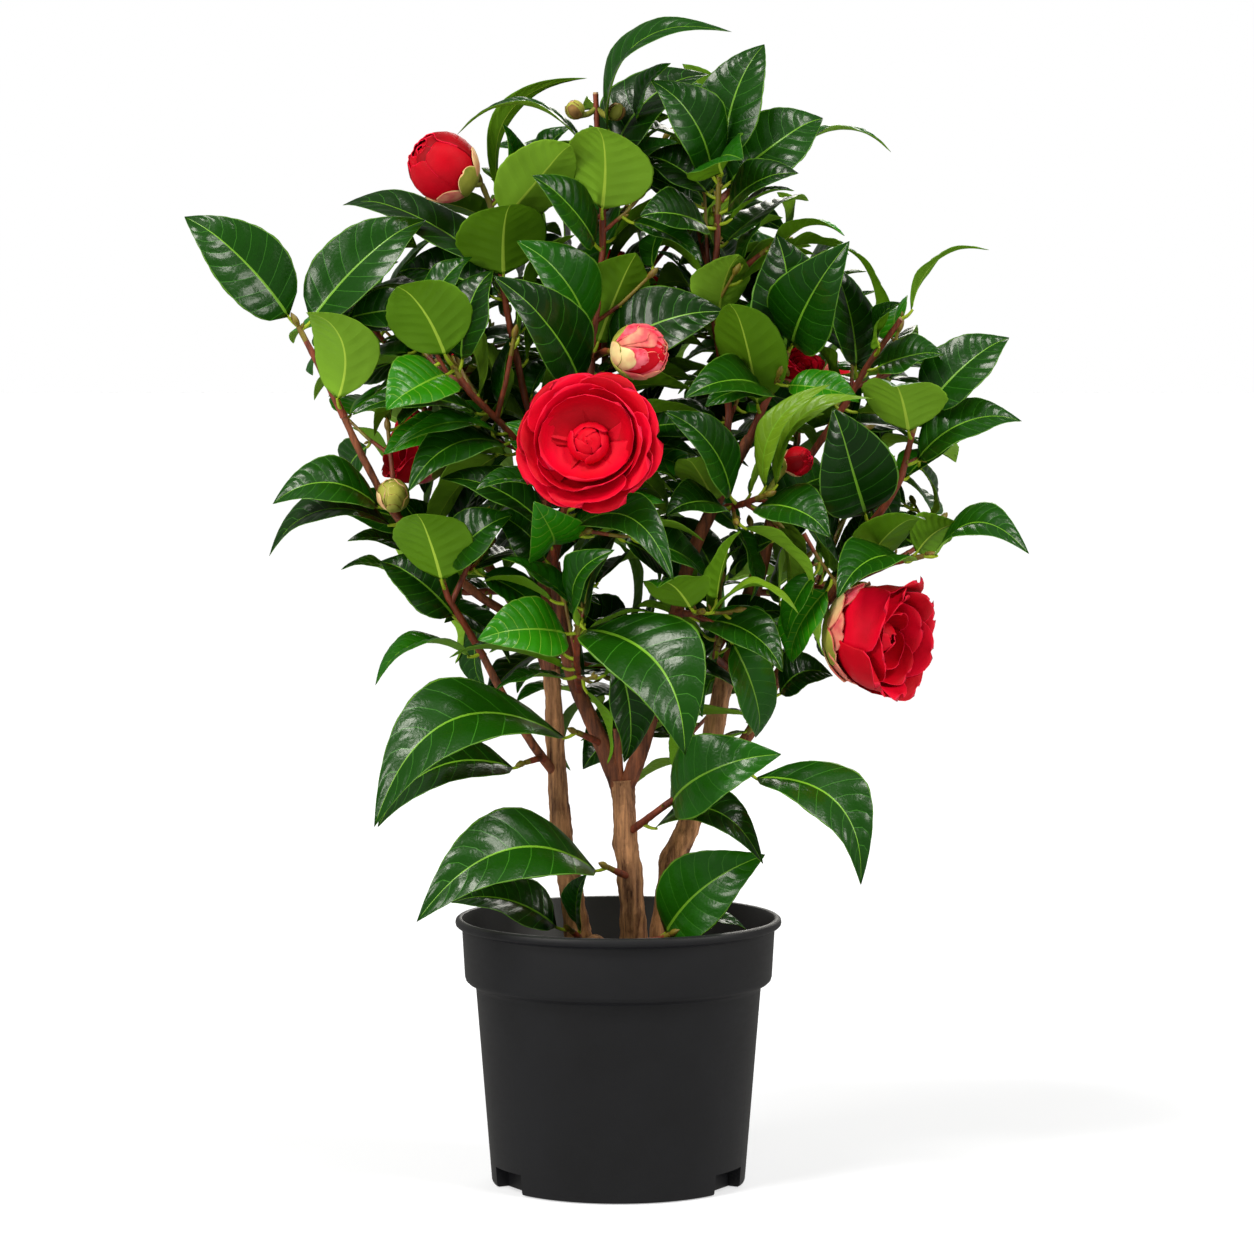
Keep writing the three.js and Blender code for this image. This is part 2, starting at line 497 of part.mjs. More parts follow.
// Is every point clear of what is taken? The first points may lie near their own twig,
// and a few of them near the other leaves on it.
function isClear(points, margin, owner, free = 0) {
  return points.every((p, index) => taken.every((q) => {
    const mine = q[4] === owner;
    const twig = mine && q[3] > 0 && q[3] < 3;
    const near = twig ? index < free : mine && q[3] === 0 && index < BASE_SAMPLES;
    const reach = near ? 0 : twig ? TWIG_CLEAR : margin + q[3];
    const [dx, dy, dz] = [p.x - q[0], p.y - q[1], p.z - q[2]];
    return dx * dx + dy * dy + dz * dz >= reach * reach;
  }));
}

// Samples of a blade that the clearance is measured from.
function bladeSamples(leaf) {
  const points = [];
  for (let j = 2; j <= 20; j += 1) {
    for (const s of [-0.9, -0.45, 0, 0.45, 0.9]) {
      points.push(bladePoint(leaf, j / 20, s));
    }
  }
  return points;
}

// Is the point inside the crown's space?
function insideCrown(p) {
  let row = 0;
  while (row + 2 < CROWN.length && p.z > CROWN[row + 1][0]) {
    row += 1;
  }
  const f = (p.z - CROWN[row][0]) / (CROWN[row + 1][0] - CROWN[row][0]);
  if (f < 0 || f > 1) {
    return false;
  }
  const [left, right, deep] = [1, 2, 3].map((k) => CROWN[row][k] * (1 - f) + CROWN[row + 1][k] * f);
  const across = (p.x - (left + right) / 2) / ((right - left) / 2);
  return across * across + (p.y / deep) * (p.y / deep) <= 1;
}

function takeTwig(path, owner) {
  const steps = Math.ceil(lengthOf(path) / 5);
  for (let i = 0; i <= steps; i += 1) {
    take(twigPoint(path, i / steps), 1.8, owner);
  }
}

const LIMB_NAMES = Object.keys(LIMBS);

function limbRadius(limb) {
  return (t) => {
    const [foot, tip] = limb.radius;
    const spread = 1 + (limb.flare - 1) * Math.exp(-t * 14);
    return (foot + (tip - foot) * t) * spread;
  };
}

for (let i = 0; i < 90; i += 1) {
  const angle = 2 * Math.PI * i / 90;
  for (const z of [132, 138, 144, 150, 154]) {
    take(vec([POT_INSIDE * Math.cos(angle), POT_INSIDE * Math.sin(angle), z]), 3, -1);
  }
}
for (const name of LIMB_NAMES) {
  const limb = LIMBS[name];
  const steps = Math.ceil(lengthOf(limb.path) / 6);
  for (let i = 0; i <= steps; i += 1) {
    take(pointOn(limb.path, i / steps), limbRadius(limb)(i / steps) + 1, -1);
  }
}

// First the twigs, blooms and leaves whose places are set ...
const plants = MASSES.map((mass) => ({ ...mass, twigs: [...mass.twigs], grown: [] }));
plants.forEach((plant, owner) => {
  plant.twigs.forEach((path) => takeTwig(path, owner));
  for (const bloom of plant.blooms) {
    take(vec(bloom.slice(2, 5)), bloom[5] * 0.5, owner);
  }
});
let skipped = 0;
plants.forEach((plant, owner) => {
  for (const [twig, place, x, y, z, width, turn, bow] of plant.leaves) {
    const root = twigPoint(plant.twigs[twig], place);
    // A leaf leans back or forward until it is clear of its neighbours.
    const lean = LEANS.find((shift) => {
      const leaf = leafFrame(root, vec([x, y + shift, z]), width, turn, bow);
      return isClear(bladeSamples(leaf), SET_CLEAR, owner, Infinity);
    });
    if (lean === undefined) {
      skipped += 1;
      continue;
    }
    const leaf = leafFrame(root, vec([x, y + lean, z]), width, turn, bow);
    bladeSamples(leaf).forEach((p) => take(p, 0, owner));
    plant.grown.push(leaf);
  }
});

// ... then side twigs and further leaves, by the seeded spiral.
plants.forEach((plant, owner) => {
  const random = seededNumbers(plant.seed);
  const front = plant.front ?? FRONT_LIMIT;
  const around = (path, t, azimuth, rise) => {
    const way = directionOn(path, t);
    const first = new THREE.Vector3(0.31, 0.22, 0.93).cross(way).normalize();
    return first.applyAxisAngle(way, azimuth * degrees).multiplyScalar(Math.cos(rise * degrees))
      .addScaledVector(way, Math.sin(rise * degrees));
  };
  for (let k = 0; k < plant.side; k += 1) {
    const t = 0.3 + 0.6 * (k + 0.5) / plant.side;
    const turn = random() * 360;
    const size = 38 + 26 * random();
    for (let attempt = 0; attempt < 8; attempt += 1) {
      const start = twigPoint(plant.twigs[0], t);
      const way = around(plant.twigs[0], t, turn + k * SPIRAL + attempt * 45, 35);
      const middle = start.clone().addScaledVector(way, size * 0.5);
      const end = start.clone().addScaledVector(way, size);
      end.z += size * 0.15;
      const path = [start, middle, end].map((p) => p.toArray());
      const samples = [0.4, 0.6, 0.8, 1].map((u) => twigPoint(path, u));
      if (insideCrown(end) && end.y > front && isClear(samples, CLEAR, owner)) {
        plant.twigs.push(path);
        takeTwig(path, owner);
        break;
      }
    }
  }
  const before = plant.grown.length;
  plant.twigs.forEach((path) => {
    const count = Math.floor(lengthOf(path) / LEAF_STEP);
    for (let j = 0; j < count && plant.grown.length - before < plant.more; j += 1) {
      const t = 1 - j / (count + 1);
      const root = twigPoint(path, t);
      const size = 52 + 26 * random();
      const rise = 12 + 40 * t * random() + 10 * t;
      const width = size * (0.5 + 0.08 * random());
      for (let attempt = 0; attempt < 7; attempt += 1) {
        const way = around(path, t, j * SPIRAL + attempt * 51, rise);
        const tip = root.clone().addScaledVector(way, size + PETIOLE);
        const turn = 90 + (random() - 0.5) * 50;
        const leaf = leafFrame(root, tip, width, turn);
        const samples = bladeSamples(leaf);
        const inside = samples.every((p) => insideCrown(p) && p.y > front);
        if (inside && isClear(samples, CLEAR, owner, ROOT_SAMPLES)) {
          samples.forEach((p) => take(p, 0, owner));
          plant.grown.push(leaf);
          break;
        }
      }
    }
  });
});

// ---------------------------------------------------------------- pot and soil
// Round solid from an outline of [radius, height] that starts and ends on the axis.
function turned(profile) {
  const rings = profile.slice(1, -1).map(([radius, z]) => {
    const ring = [];
    for (let i = 0; i < POT_SIDES; i += 1) {
      const angle = 2 * Math.PI * (i + 0.5) / POT_SIDES;
      ring.push(vec([radius * Math.cos(angle), radius * Math.sin(angle), z]));
    }
    return ring;
  });
  return solidFromRings(rings);
}

function boxSolid(width, depth, height, place, turn) {
  const geometry = new THREE.BoxGeometry(width, depth, height);
  const matrix = new THREE.Matrix4().makeRotationZ(turn)
    .multiply(new THREE.Matrix4().makeTranslation(...place));
  const corners = [];
  for (const z of [-0.5, 0.5]) {
    corners.push([[-0.5, -0.5], [0.5, -0.5], [0.5, 0.5], [-0.5, 0.5]].map(([x, y]) => (
      vec([x * width, y * depth, z * height]).applyMatrix4(matrix))));
  }
  geometry.dispose();
  return solidFromRings(corners);
}

const collarFoot = POT_HEIGHT - COLLAR_HEIGHT;
const innerFoot = POT_BODY_FOOT - WALL;
const innerTop = POT_BODY_TOP - WALL;

function makePot() {
  const outer = turned([
    [0, 0], [POT_BODY_FOOT - 0.8, 0], [POT_BODY_FOOT, 0.8], [POT_BODY_TOP, collarFoot - 2],
    [POT_BODY_TOP + 4, collarFoot + 1], [POT_BODY_TOP + 6.3, collarFoot + 5],
    [POT_LIP_RADIUS - 3.7, POT_HEIGHT - 6], [POT_LIP_RADIUS - 0.8, POT_HEIGHT - 5],
    [POT_LIP_RADIUS, POT_HEIGHT - 3], [POT_LIP_RADIUS - 0.8, POT_HEIGHT - 0.8],
    [POT_LIP_RADIUS - 2.2, POT_HEIGHT], [0, POT_HEIGHT],
  ]);
  const inside = turned([
    [0, 2.2], [innerFoot, 2.2], [innerTop, collarFoot - 1], [innerTop + 6, collarFoot + 5],
    [POT_LIP_RADIUS - 3.7 - WALL, POT_HEIGHT - 4], [POT_LIP_RADIUS - 3.7 - WALL, POT_HEIGHT + 1],
    [0, POT_HEIGHT + 1],
  ]);
  let pot = outer.subtract(inside);
  // Foot notches: one at the back and two towards the front, each closed inside by a pocket.
  const reach = POT_BODY_FOOT + 4;
  for (const turn of [30, 150, 270].map((a) => (a + 180) * degrees)) {
    const place = [reach - NOTCH_DEPTH / 2 - 4, 0, NOTCH_HEIGHT / 2 - 1];
    const notch = boxSolid(NOTCH_DEPTH + 8, NOTCH_WIDTH, NOTCH_HEIGHT + 2, place, turn);
    const pocket = boxSolid(NOTCH_DEPTH + 8 + 2 * WALL, NOTCH_WIDTH + 2 * WALL,
      NOTCH_HEIGHT + 2 + 2 * WALL, place, turn).intersect(outer);
    pot = pot.add(pocket).subtract(notch);
  }
  return pot;
}

function makeSoil() {
  const foot = NOTCH_HEIGHT + WALL + GAP + 0.1;
  const share = (foot - 2.2) / (collarFoot - 3.2);
  return turned([
    [0, foot], [innerFoot + (innerTop - innerFoot) * share - GAP - 0.4, foot],
    [innerTop - GAP - 0.3, collarFoot - 1], [innerTop + 5.5 - GAP, collarFoot + 5],
    [innerTop + 5.8 - GAP, SOIL_TOP], [0, SOIL_TOP],
  ]);
}

// ---------------------------------------------------------------- limbs and masses
// Keeps the one body that matters: sealed hollows are filled and scraps dropped.
function oneBody(solid) {
  const bodies = solid.decompose();
  bodies.sort((a, b) => b.volume() - a.volume());
  return bodies[0];
}

const solids = { pot: makePot(), soil: makeSoil() };
const belowGround = boxSolid(200, 200, 100, [0, 0, SOIL_TOP + GAP - 50], 0);
const grownLimbs = {};
for (const name of LIMB_NAMES) {
  const limb = LIMBS[name];
  const steps = Math.max(4, Math.round(lengthOf(limb.path) / 26));
  let solid = limbSolid(limb.path, limbRadius(limb), 8, steps);
  let fat = limbSolid(limb.path, (t) => limbRadius(limb)(t) + GAP + 0.08, 8, steps);
  if (name === 'stem_front') {
    solid = solid.add(limbSolid(PRUNED_STUB, () => STUB_RADIUS, 6, 2));
    fat = fat.add(limbSolid(PRUNED_STUB, () => STUB_RADIUS + GAP + 0.1, 6, 2));
  }
  if (name === 'stem_left') {
    solid = solid.add(budSolid(vec([-14, 0, 138]), vec([0.6, -0.3, 0.7]).normalize(), 14, 1));
  }
  for (const other of Object.values(grownLimbs)) {
    solid = solid.subtract(other.fat);
  }
  solid = oneBody(solid.subtract(belowGround));
  grownLimbs[name] = { fat };
  solids[name] = solid;
}

for (const plant of plants) {
  const parts = [];
  plant.twigs.forEach((path, index) => {
    const [foot, tip] = index === 0 ? [2.6, 1.9] : [2.1, 1.6];
    parts.push(limbSolid(path, (t) => foot + (tip - foot) * t, 3, path.length - 1, twigPoint));
  });
  plant.grown.forEach((leaf) => parts.push(leafSolid(leaf)));
  for (const bloom of plant.blooms) {
    const twig = plant.twigs[bloom[1]];
    const centre = vec(bloom.slice(2, 5));
    let nearest = twigPoint(twig, 0);
    for (let i = 1; i <= 20; i += 1) {
      const p = twigPoint(twig, i / 20);
      if (p.distanceTo(centre) < nearest.distanceTo(centre)) {
        nearest = p;
      }
    }
    parts.push(...bloomSolids(bloom, nearest));
  }
  let solid = parts[0];
  for (const part of parts.slice(1)) {
    solid = solid.add(part);
  }
  for (const limb of Object.values(grownLimbs)) {
    solid = solid.subtract(limb.fat);
  }
  solids[plant.name] = oneBody(solid);
}

// ---------------------------------------------------------------- the scene graph
const materials = {
  pot: new THREE.MeshStandardMaterial({ color: 0x232323, roughness: 0.45, metalness: 0 }),
  soil: new THREE.MeshStandardMaterial({ color: 0x33241a, roughness: 1, metalness: 0 }),
  bark: new THREE.MeshStandardMaterial({ color: 0x96643f, roughness: 0.9, metalness: 0 }),
  leaves: new THREE.MeshStandardMaterial({ color: 0x1d5c14, roughness: 0.3, metalness: 0 }),
};

function materialOf(name) {
  if (materials[name]) {
    return materials[name];
  }
  return name.startsWith('foliage') ? materials.leaves : materials.bark;
}

const shrub = new THREE.Group();
for (const [name, solid] of Object.entries(solids)) {
  const mesh = solid.getMesh();
  const geometry = new THREE.BufferGeometry();
  geometry.setAttribute('position', new THREE.BufferAttribute(mesh.vertProperties, 3));
  geometry.setIndex(new THREE.BufferAttribute(mesh.triVerts, 1));
  geometry.computeVertexNormals();
  const piece = new THREE.Mesh(geometry, materialOf(name));
  piece.name = name;
  shrub.add(piece);
}

export default shrub;
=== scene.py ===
# %% [markdown]
# # Camellia shrub in a nursery pot
# A potted camellia: three woody stems, forked boughs, glossy toothed leaves, red
# blooms and fat buds, in a black plastic pot. The lesson first works out where all of
# it grows, from the limbs out to the single leaf. Then it makes the meshes: leaves,
# bark, twigs, blooms, pot and soil, each from a few measured sizes. Lengths in the
# tables are millimetres, +Z is up and -Y is the front.

import math
from types import SimpleNamespace

import bmesh
import bpy
import numpy as np
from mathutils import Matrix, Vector


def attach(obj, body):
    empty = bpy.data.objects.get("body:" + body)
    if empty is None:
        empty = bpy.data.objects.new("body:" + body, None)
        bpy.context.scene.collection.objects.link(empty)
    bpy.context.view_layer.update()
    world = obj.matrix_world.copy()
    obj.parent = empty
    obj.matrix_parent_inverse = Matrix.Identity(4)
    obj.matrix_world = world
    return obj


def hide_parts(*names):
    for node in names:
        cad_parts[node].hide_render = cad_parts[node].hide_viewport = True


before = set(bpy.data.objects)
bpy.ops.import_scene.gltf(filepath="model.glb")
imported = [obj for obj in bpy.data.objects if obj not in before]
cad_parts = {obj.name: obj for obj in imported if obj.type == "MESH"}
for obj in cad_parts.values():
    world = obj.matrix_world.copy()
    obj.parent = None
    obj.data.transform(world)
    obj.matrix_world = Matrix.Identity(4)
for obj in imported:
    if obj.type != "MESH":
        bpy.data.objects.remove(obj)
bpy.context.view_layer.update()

# %% [markdown]
# ## The plant's tables
# The solids were grown from these same rows, so a leaf here lies where its solid is.
# A limb is points up its middle with a radius at the foot and tip. A mass of foliage
# has a seed, twigs, and the leaves and blooms whose places are known.

# %% Tables
# Crown: height, left edge, right edge and half depth of the space it fills.
CROWN = [
  [215, -60, 70, 70],
  [260, -80, 90, 100],
  [310, -112, 138, 145],
  [370, -172, 205, 178],
  [430, -178, 212, 188],
  [500, -205, 200, 180],
  [560, -160, 130, 150],
  [610, -75, 108, 100],
  [655, -20, 70, 50],
]
# Limbs: points up the middle, radius at the foot and at the tip.
LIMBS = {
  "stem_front": {
    "path": [[9, -6, 122], [8, -9, 165], [4, -11, 205], [2, -11, 236]],
    "radius": [7.6, 6.8], "flare": 1.5},
  "stem_left": {
    "path": [[-20, 6, 122], [-27, 8, 165], [-34, 11, 210], [-38, 14, 280], [-42, 15, 345],
             [-43, 16, 400]],
    "radius": [7.2, 3.8], "flare": 1.6},
  "stem_right": {
    "path": [[24, 28, 122], [32, 30, 180], [48, 30, 222], [61, 28, 285], [76, 26, 332],
             [90, 22, 384], [103, 18, 410]],
    "radius": [7.2, 3.8], "flare": 1.4},
  "bough_front_left": {
    "path": [[1, -11, 230], [-10, -11, 258], [-24, -9, 290], [-32, -7, 320], [-37, -5, 362]],
    "radius": [5.2, 3.4], "flare": 1},
  "bough_front_right": {
    "path": [[3, -11, 230], [14, -12, 256], [26, -12, 300], [41, -8, 362], [60, -3, 404], [76, 0, 434]],
    "radius": [5, 3.2], "flare": 1},
  "bough_left_high": {
    "path": [[-40, 14, 316], [-62, 6, 330], [-88, -1, 348], [-126, -6, 386], [-146, -8, 420],
             [-158, -9, 446]],
    "radius": [2.8, 1.9], "flare": 1.2},
  "bough_left_low": {
    "path": [[-36, 12, 236], [-50, 0, 256], [-66, -8, 284], [-78, -14, 308]],
    "radius": [2.8, 2.1], "flare": 1.2},
  "bough_right": {
    "path": [[49, 30, 225], [78, 20, 262], [96, 13, 300], [119, 4, 336], [143, -3, 380]],
    "radius": [3.8, 2.6], "flare": 1.2},
  "bough_back_left": {
    "path": [[-38, 14, 290], [-52, 42, 320], [-78, 74, 356], [-98, 98, 392]],
    "radius": [3.8, 2.6], "flare": 1.2},
  "bough_back_mid": {
    "path": [[-42, 15, 350], [-34, 44, 384], [-16, 68, 424], [-8, 80, 462]],
    "radius": [3.6, 2.6], "flare": 1.2},
  "bough_back_right": {
    "path": [[62, 28, 290], [70, 58, 320], [84, 88, 356], [98, 112, 392]],
    "radius": [3.8, 2.6], "flare": 1.2},
}
# Cut stub of a lost leader, in the fork of the front stem.
PRUNED_STUB = [[2, -11, 226], [0, -12.5, 248], [-1, -14, 266]]
# A leaf is [twig, place along it 0 to 1, tip x, y, z, width, turn, bow, tone]: its
# upper side faces the front at a turn of 0, upward at 90 and the back at 180, and its
# middle stands up by the share bow of its length. The tone picks a finish, and -1
# leaves it open. A bloom is [kind, twig, centre x, y, z, diameter, facing x, y, z].
MASSES = [
  {"name": "foliage_far_left", "seed": 11, "side": 1, "more": 5,
    "twigs": [[[-158, -9, 446.5], [-172, -10, 475], [-184, -10, 498]]],
    "leaves": [
      [0, 1, -246, -22, 562, 45, 25, 0, 1], [0, 0.95, -113, 2, 562, 44, 30, 0, 1],
      [0, 0.06, -175, -56, 509, 40, 158, 0.15, -1]],
    "blooms": []},
  {"name": "foliage_left", "seed": 12, "side": 1, "more": 6,
    "twigs": [[[-116, -6, 376], [-126, -13, 388], [-131, -20, 396]]],
    "leaves": [
      [0, 0.9, -197, -34, 399, 38, 50, 0.16, 1], [0, 0.4, -201, -24, 371, 36, 62, 0.14, 0]],
    "blooms": [["bud_green", 0, -129, -28, 402, 19, -0.2, -0.5, 0.8]]},
  {"name": "foliage_left_mid", "seed": 13, "side": 2, "more": 9, "front": -45,
    "twigs": [[[-43, 12, 396], [-62, -8, 437], [-85, -22, 460], [-95, -26, 476]]],
    "leaves": [
      [0, 1, -124, -62, 523, 50, 162, 0, -1], [0, 0.95, -130, -66, 454, 42, 35, 0, 3],
      [0, 0.5, -151, -40, 450, 28, 60, 0.05, 1], [0, 0.3, -119, -50, 408, 34, 45, 0.1, 1],
      [0, 0.34, -128, -30, 430, 20, 60, 0.04, 2], [0, 0.12, -82, -34, 404, 26, 70, 0, 1],
      [0, 0.9, -74, -32, 531, 40, 40, 0, 0]],
    "blooms": [["flower_side", 0, -119, 26, 426, 38, -0.85, -0.35, 0.35]]},
  {"name": "foliage_left_low", "seed": 14, "side": 1, "more": 6, "front": -40,
    "twigs": [[[-78, -14, 308.5], [-88, -20, 326], [-98, -25, 343], [-103, -28, 360]]],
    "leaves": [
      [0, 0.75, -113, -66, 394, 48, 158, 0, -1], [0, 0.35, -136, -36, 365, 42, 42, 0, 0],
      [0, 0.03, -139, -46, 298, 28, 80, 0.14, 2], [0, 0.95, -62, -42, 392, 36, 40, 0, 1]],
    "blooms": []},
  {"name": "foliage_top_left", "seed": 15, "side": 1, "more": 7,
    "twigs": [[[-43, 16, 401], [-46, 14, 428], [-54, 8, 456], [-63, 2, 500], [-67, 2, 522], [-70, 8, 558],
                [-79, 12, 580]]],
    "leaves": [
      [0, 0.66, -62, -34, 569, 54, 163, 0, -1], [0, 0.82, -27, -30, 604, 42, 158, 0, -1],
      [0, 0.9, -21, 20, 643, 28, 128, 0.16, 4], [0, 0.7, -161, 44, 574, 34, 50, 0.04, 0],
      [0, 0.6, -128, 14, 532, 38, 40, 0, 0]],
    "blooms": [["bud_opening", 0, -101, 2, 590, 41, -0.72, -0.42, 0.55]]},
  {"name": "foliage_top", "seed": 16, "side": 2, "more": 10, "front": -30,
    "twigs": [
      [[-37, -5, 362.5], [-28, 2, 410], [-16, 2, 470], [-9, 0, 541], [-9, -2, 578], [-12, -4, 606],
       [-13, -5, 631]],
      [[-14, 1, 480], [-8, -28, 484], [-3, -46, 484]]],
    "leaves": [
      [0, 0.58, -10, -52, 613, 54, 158, 0, -1], [0, 0.83, 59, -6, 668, 30, 62, 0.18, 1],
      [0, 0.72, 51, 14, 645, 46, 44, 0.08, 0], [0, 0.8, -92, -10, 613, 22, 80, 0.16, 1],
      [0, 0.5, -47, -20, 584, 36, 50, 0, 1], [0, 0.38, -54, -38, 547, 44, 40, 0, 2],
      [0, 0.3, -65, -46, 526, 44, 38, 0, 0], [0, 0.36, 10, -34, 541, 46, 165, 0, -1],
      [1, 0.02, 60, -16, 508, 46, 30, 0, 0]],
    "blooms": [
      ["bud_small", 0, -25, -8, 622, 11, -0.6, -0.3, 0.7], ["bud_small", 0, -1, -6, 621, 10, 0.4, -0.3, 0.85],
      ["bud_tight", 1, 13, -58, 484, 33, 0.86, -0.45, 0.1]]},
  {"name": "foliage_top_right", "seed": 17, "side": 1, "more": 7, "front": -20,
    "twigs": [
      [[60, -3, 406], [64, 0, 450], [54, 0, 508], [57, -1, 546], [58, -4, 588]],
      [[55, 0, 514], [73, 2, 532], [87, 4, 543]],
      [[58, -2, 570], [76, 14, 586], [90, 20, 594]]],
    "leaves": [
      [0, 1, 83, 6, 661, 42, 28, 0, 1], [0, 0.95, 22, -14, 638, 42, 38, 0, 1],
      [0, 0.93, 117, -16, 620, 48, 32, 0, 1], [2, 0.95, 158, 24, 603, 22, 80, 0.12, 2],
      [0, 0.98, 68, -60, 594, 40, 92, 0, 2], [0, 0.85, 100, -36, 587, 34, 55, 0, 0],
      [0, 0.8, 13, -32, 562, 36, 50, 0, 0], [1, 0.9, 129, -22, 552, 24, 100, 0.14, 3],
      [0, 0.9, 14, 18, 598, 38, 50, 0, 0], [0, 0.46, 68, -42, 540, 38, 148, 0, -1]],
    "blooms": [["bud_pink", 2, 77, 20, 612, 15, 0.3, 0, 0.9]]},
  {"name": "foliage_mid_right", "seed": 18, "side": 0, "more": 6, "front": -40,
    "twigs": [[[76.2, 0, 434.5], [86, 1, 456], [94, 0, 470], [98, -2, 484]]],
    "leaves": [
      [0, 0.8, 92, -8, 550, 52, 18, 0, 0], [0, 0.97, 126, -52, 543, 44, 20, 0, 1],
      [0, 0.2, 64, -42, 514, 42, 156, 0, -1], [0, 0.45, 40, -40, 462, 36, 50, 0, 1]],
    "blooms": [["flower_side", 0, 106, 16, 474, 22, 0.3, -0.5, 0.7]]},
  {"name": "foliage_upper_right", "seed": 19, "side": 1, "more": 8,
    "twigs": [[[103, 18, 410.5], [120, 12, 435], [133, 10, 455], [144, 6, 475], [163, 0, 502]]],
    "leaves": [
      [0, 0.85, 129, -14, 547, 26, 98, 0.08, 1], [0, 1, 210, -16, 545, 18, 116, 0.1, 4],
      [0, 0.65, 124, -12, 534, 38, 45, 0, 0], [0, 0.72, 186, -12, 484, 36, 58, 0, 1],
      [0, 0.8, 160, -30, 512, 20, 80, 0.06, 0]],
    "blooms": []},
  {"name": "foliage_right", "seed": 20, "side": 1, "more": 8,
    "twigs": [[[143, -3, 380.5], [155, -7, 396], [163, -8, 410], [168, -8, 430], [172, -8, 446]]],
    "leaves": [
      [0, 1, 225, -10, 493, 40, 35, 0, 1], [0, 0.6, 230, -18, 447, 38, 52, 0.05, 1],
      [0, 0.8, 156, -56, 467, 50, 154, 0, -1], [0, 0.04, 124, -40, 450, 50, 14, 0, 0]],
    "blooms": []},
  {"name": "foliage_right_low", "seed": 21, "side": 1, "more": 7,
    "twigs": [
      [[119, 2, 336], [136, -8, 352], [158, -12, 362], [176, -14, 366]],
      [[120, 1, 338], [120, -8, 331], [123, -15, 324]]],
    "leaves": [
      [0, 0.3, 174, -52, 392, 32, 142, 0.05, -1], [0, 0.8, 196, -60, 386, 30, 146, 0.03, -1],
      [0, 1, 232, -24, 372, 34, 58, 0.2, 1], [0, 0.9, 124, -44, 350, 36, 58, 0.05, 1]],
    "blooms": [["flower_cup", 1, 151, -26, 320, 62, 0.86, -0.5, -0.14]]},
  {"name": "foliage_front", "seed": 22, "side": 2, "more": 10, "front": -70,
    "twigs": [[[-36, -8, 350], [-37, -28, 370], [-29, -50, 400], [-20, -66, 426]]],
    "leaves": [
      [0, 0.33, -46, -90, 399, 38, 14, 0, 3], [0, 0.5, 30, -92, 361, 32, 42, 0.16, 1],
      [0, 0.66, -80, -84, 408, 24, 70, 0.05, 1], [0, 0.15, -70, -40, 392, 34, 30, 0, 1],
      [0, 0.4, 26, -56, 400, 30, 60, 0, 3]],
    "blooms": [["flower_open", 0, -18, -88, 436, 76, -0.16, -0.92, 0.26]]},
  {"name": "foliage_front_low", "seed": 23, "side": 1, "more": 6, "front": -60,
    "twigs": [[[-22, -13, 286], [-24, -34, 306], [-23, -54, 332]]],
    "leaves": [
      [0, 1, 38, -106, 263, 58, 30, 0.16, 1], [0, 0.85, -77, -84, 325, 40, 36, -0.02, 3],
      [0, 0.9, -6, -100, 374, 32, 60, 0.1, 1]],
    "blooms": []},
  {"name": "foliage_centre_right", "seed": 24, "side": 1, "more": 8, "front": -50,
    "twigs": [[[56, -8, 392], [70, -24, 396], [84, -38, 402]]],
    "leaves": [
      [0, 0.85, 116, -66, 466, 30, 40, 0.1, 4], [0, 1, 142, -52, 460, 28, 52, 0.12, 4],
      [0, 0.1, 39, -48, 425, 32, 150, 0, -1], [0, 0.6, 120, -56, 382, 38, 50, 0.08, 1],
      [0, 0.35, 28, -56, 394, 32, 55, 0, 0], [0, 0.45, 29, -40, 451, 34, 45, 0.05, 1]],
    "blooms": [["bud_opening", 0, 103, -22, 421, 17, 0.7, -0.6, 0.3]]},
  {"name": "foliage_centre_low", "seed": 25, "side": 1, "more": 6, "front": -60,
    "twigs": [[[35, -14, 332], [40, -34, 334], [46, -48, 336]]],
    "leaves": [
      [0, 1, 102, -66, 338, 30, 80, 0.18, 4], [0, 0.9, 22, -92, 356, 38, 140, 0, -1],
      [0, 0.5, 94, -56, 304, 36, 50, 0.1, 1]],
    "blooms": []},
  {"name": "foliage_low_right", "seed": 26, "side": 0, "more": 3,
    "twigs": [[[10, -16, 206], [20, -30, 218], [44, -46, 238], [73, -52, 247]]],
    "leaves": [
      [0, 0.15, 82, -62, 197, 36, 55, 0.18, 0], [0, 0.4, 88, -80, 259, 46, 34, 0.06, 2],
      [0, 1, 139, -80, 187, 44, 42, 0.16, 1], [0, 0.6, 33, -60, 272, 22, 150, 0, -1]],
    "blooms": []},
  {"name": "foliage_low_left", "seed": 27, "side": 0, "more": 3,
    "twigs": [[[-11, -15, 256], [-17, -24, 262], [-24, -34, 266]]],
    "leaves": [
      [0, 1, -137, -92, 221, 56, 46, 0.22, 1]],
    "blooms": []},
  {"name": "foliage_stem_left", "seed": 31, "side": 0, "more": 3, "front": -20,
    "twigs": [[[-40, 5, 250], [-46, -4, 248], [-54, -10, 246]]],
    "leaves": [
      [0, 1, -138, -44, 216, 44, 50, 0.12, 0]],
    "blooms": []},
  {"name": "foliage_stem_right", "seed": 32, "side": 1, "more": 6, "front": -30,
    "twigs": [[[60, 20, 300], [56, 8, 306], [58, -4, 314]]],
    "leaves": [
      [0, 0.6, 98, 0, 334, 34, 50, 0.1, 0], [0, 0.8, 46, -30, 276, 26, 60, 0, 2]],
    "blooms": []},
  {"name": "foliage_right_under", "seed": 33, "side": 0, "more": 3, "front": -20,
    "twigs": [[[92, 12, 288], [90, 4, 286], [86, -4, 283]]],
    "leaves": [
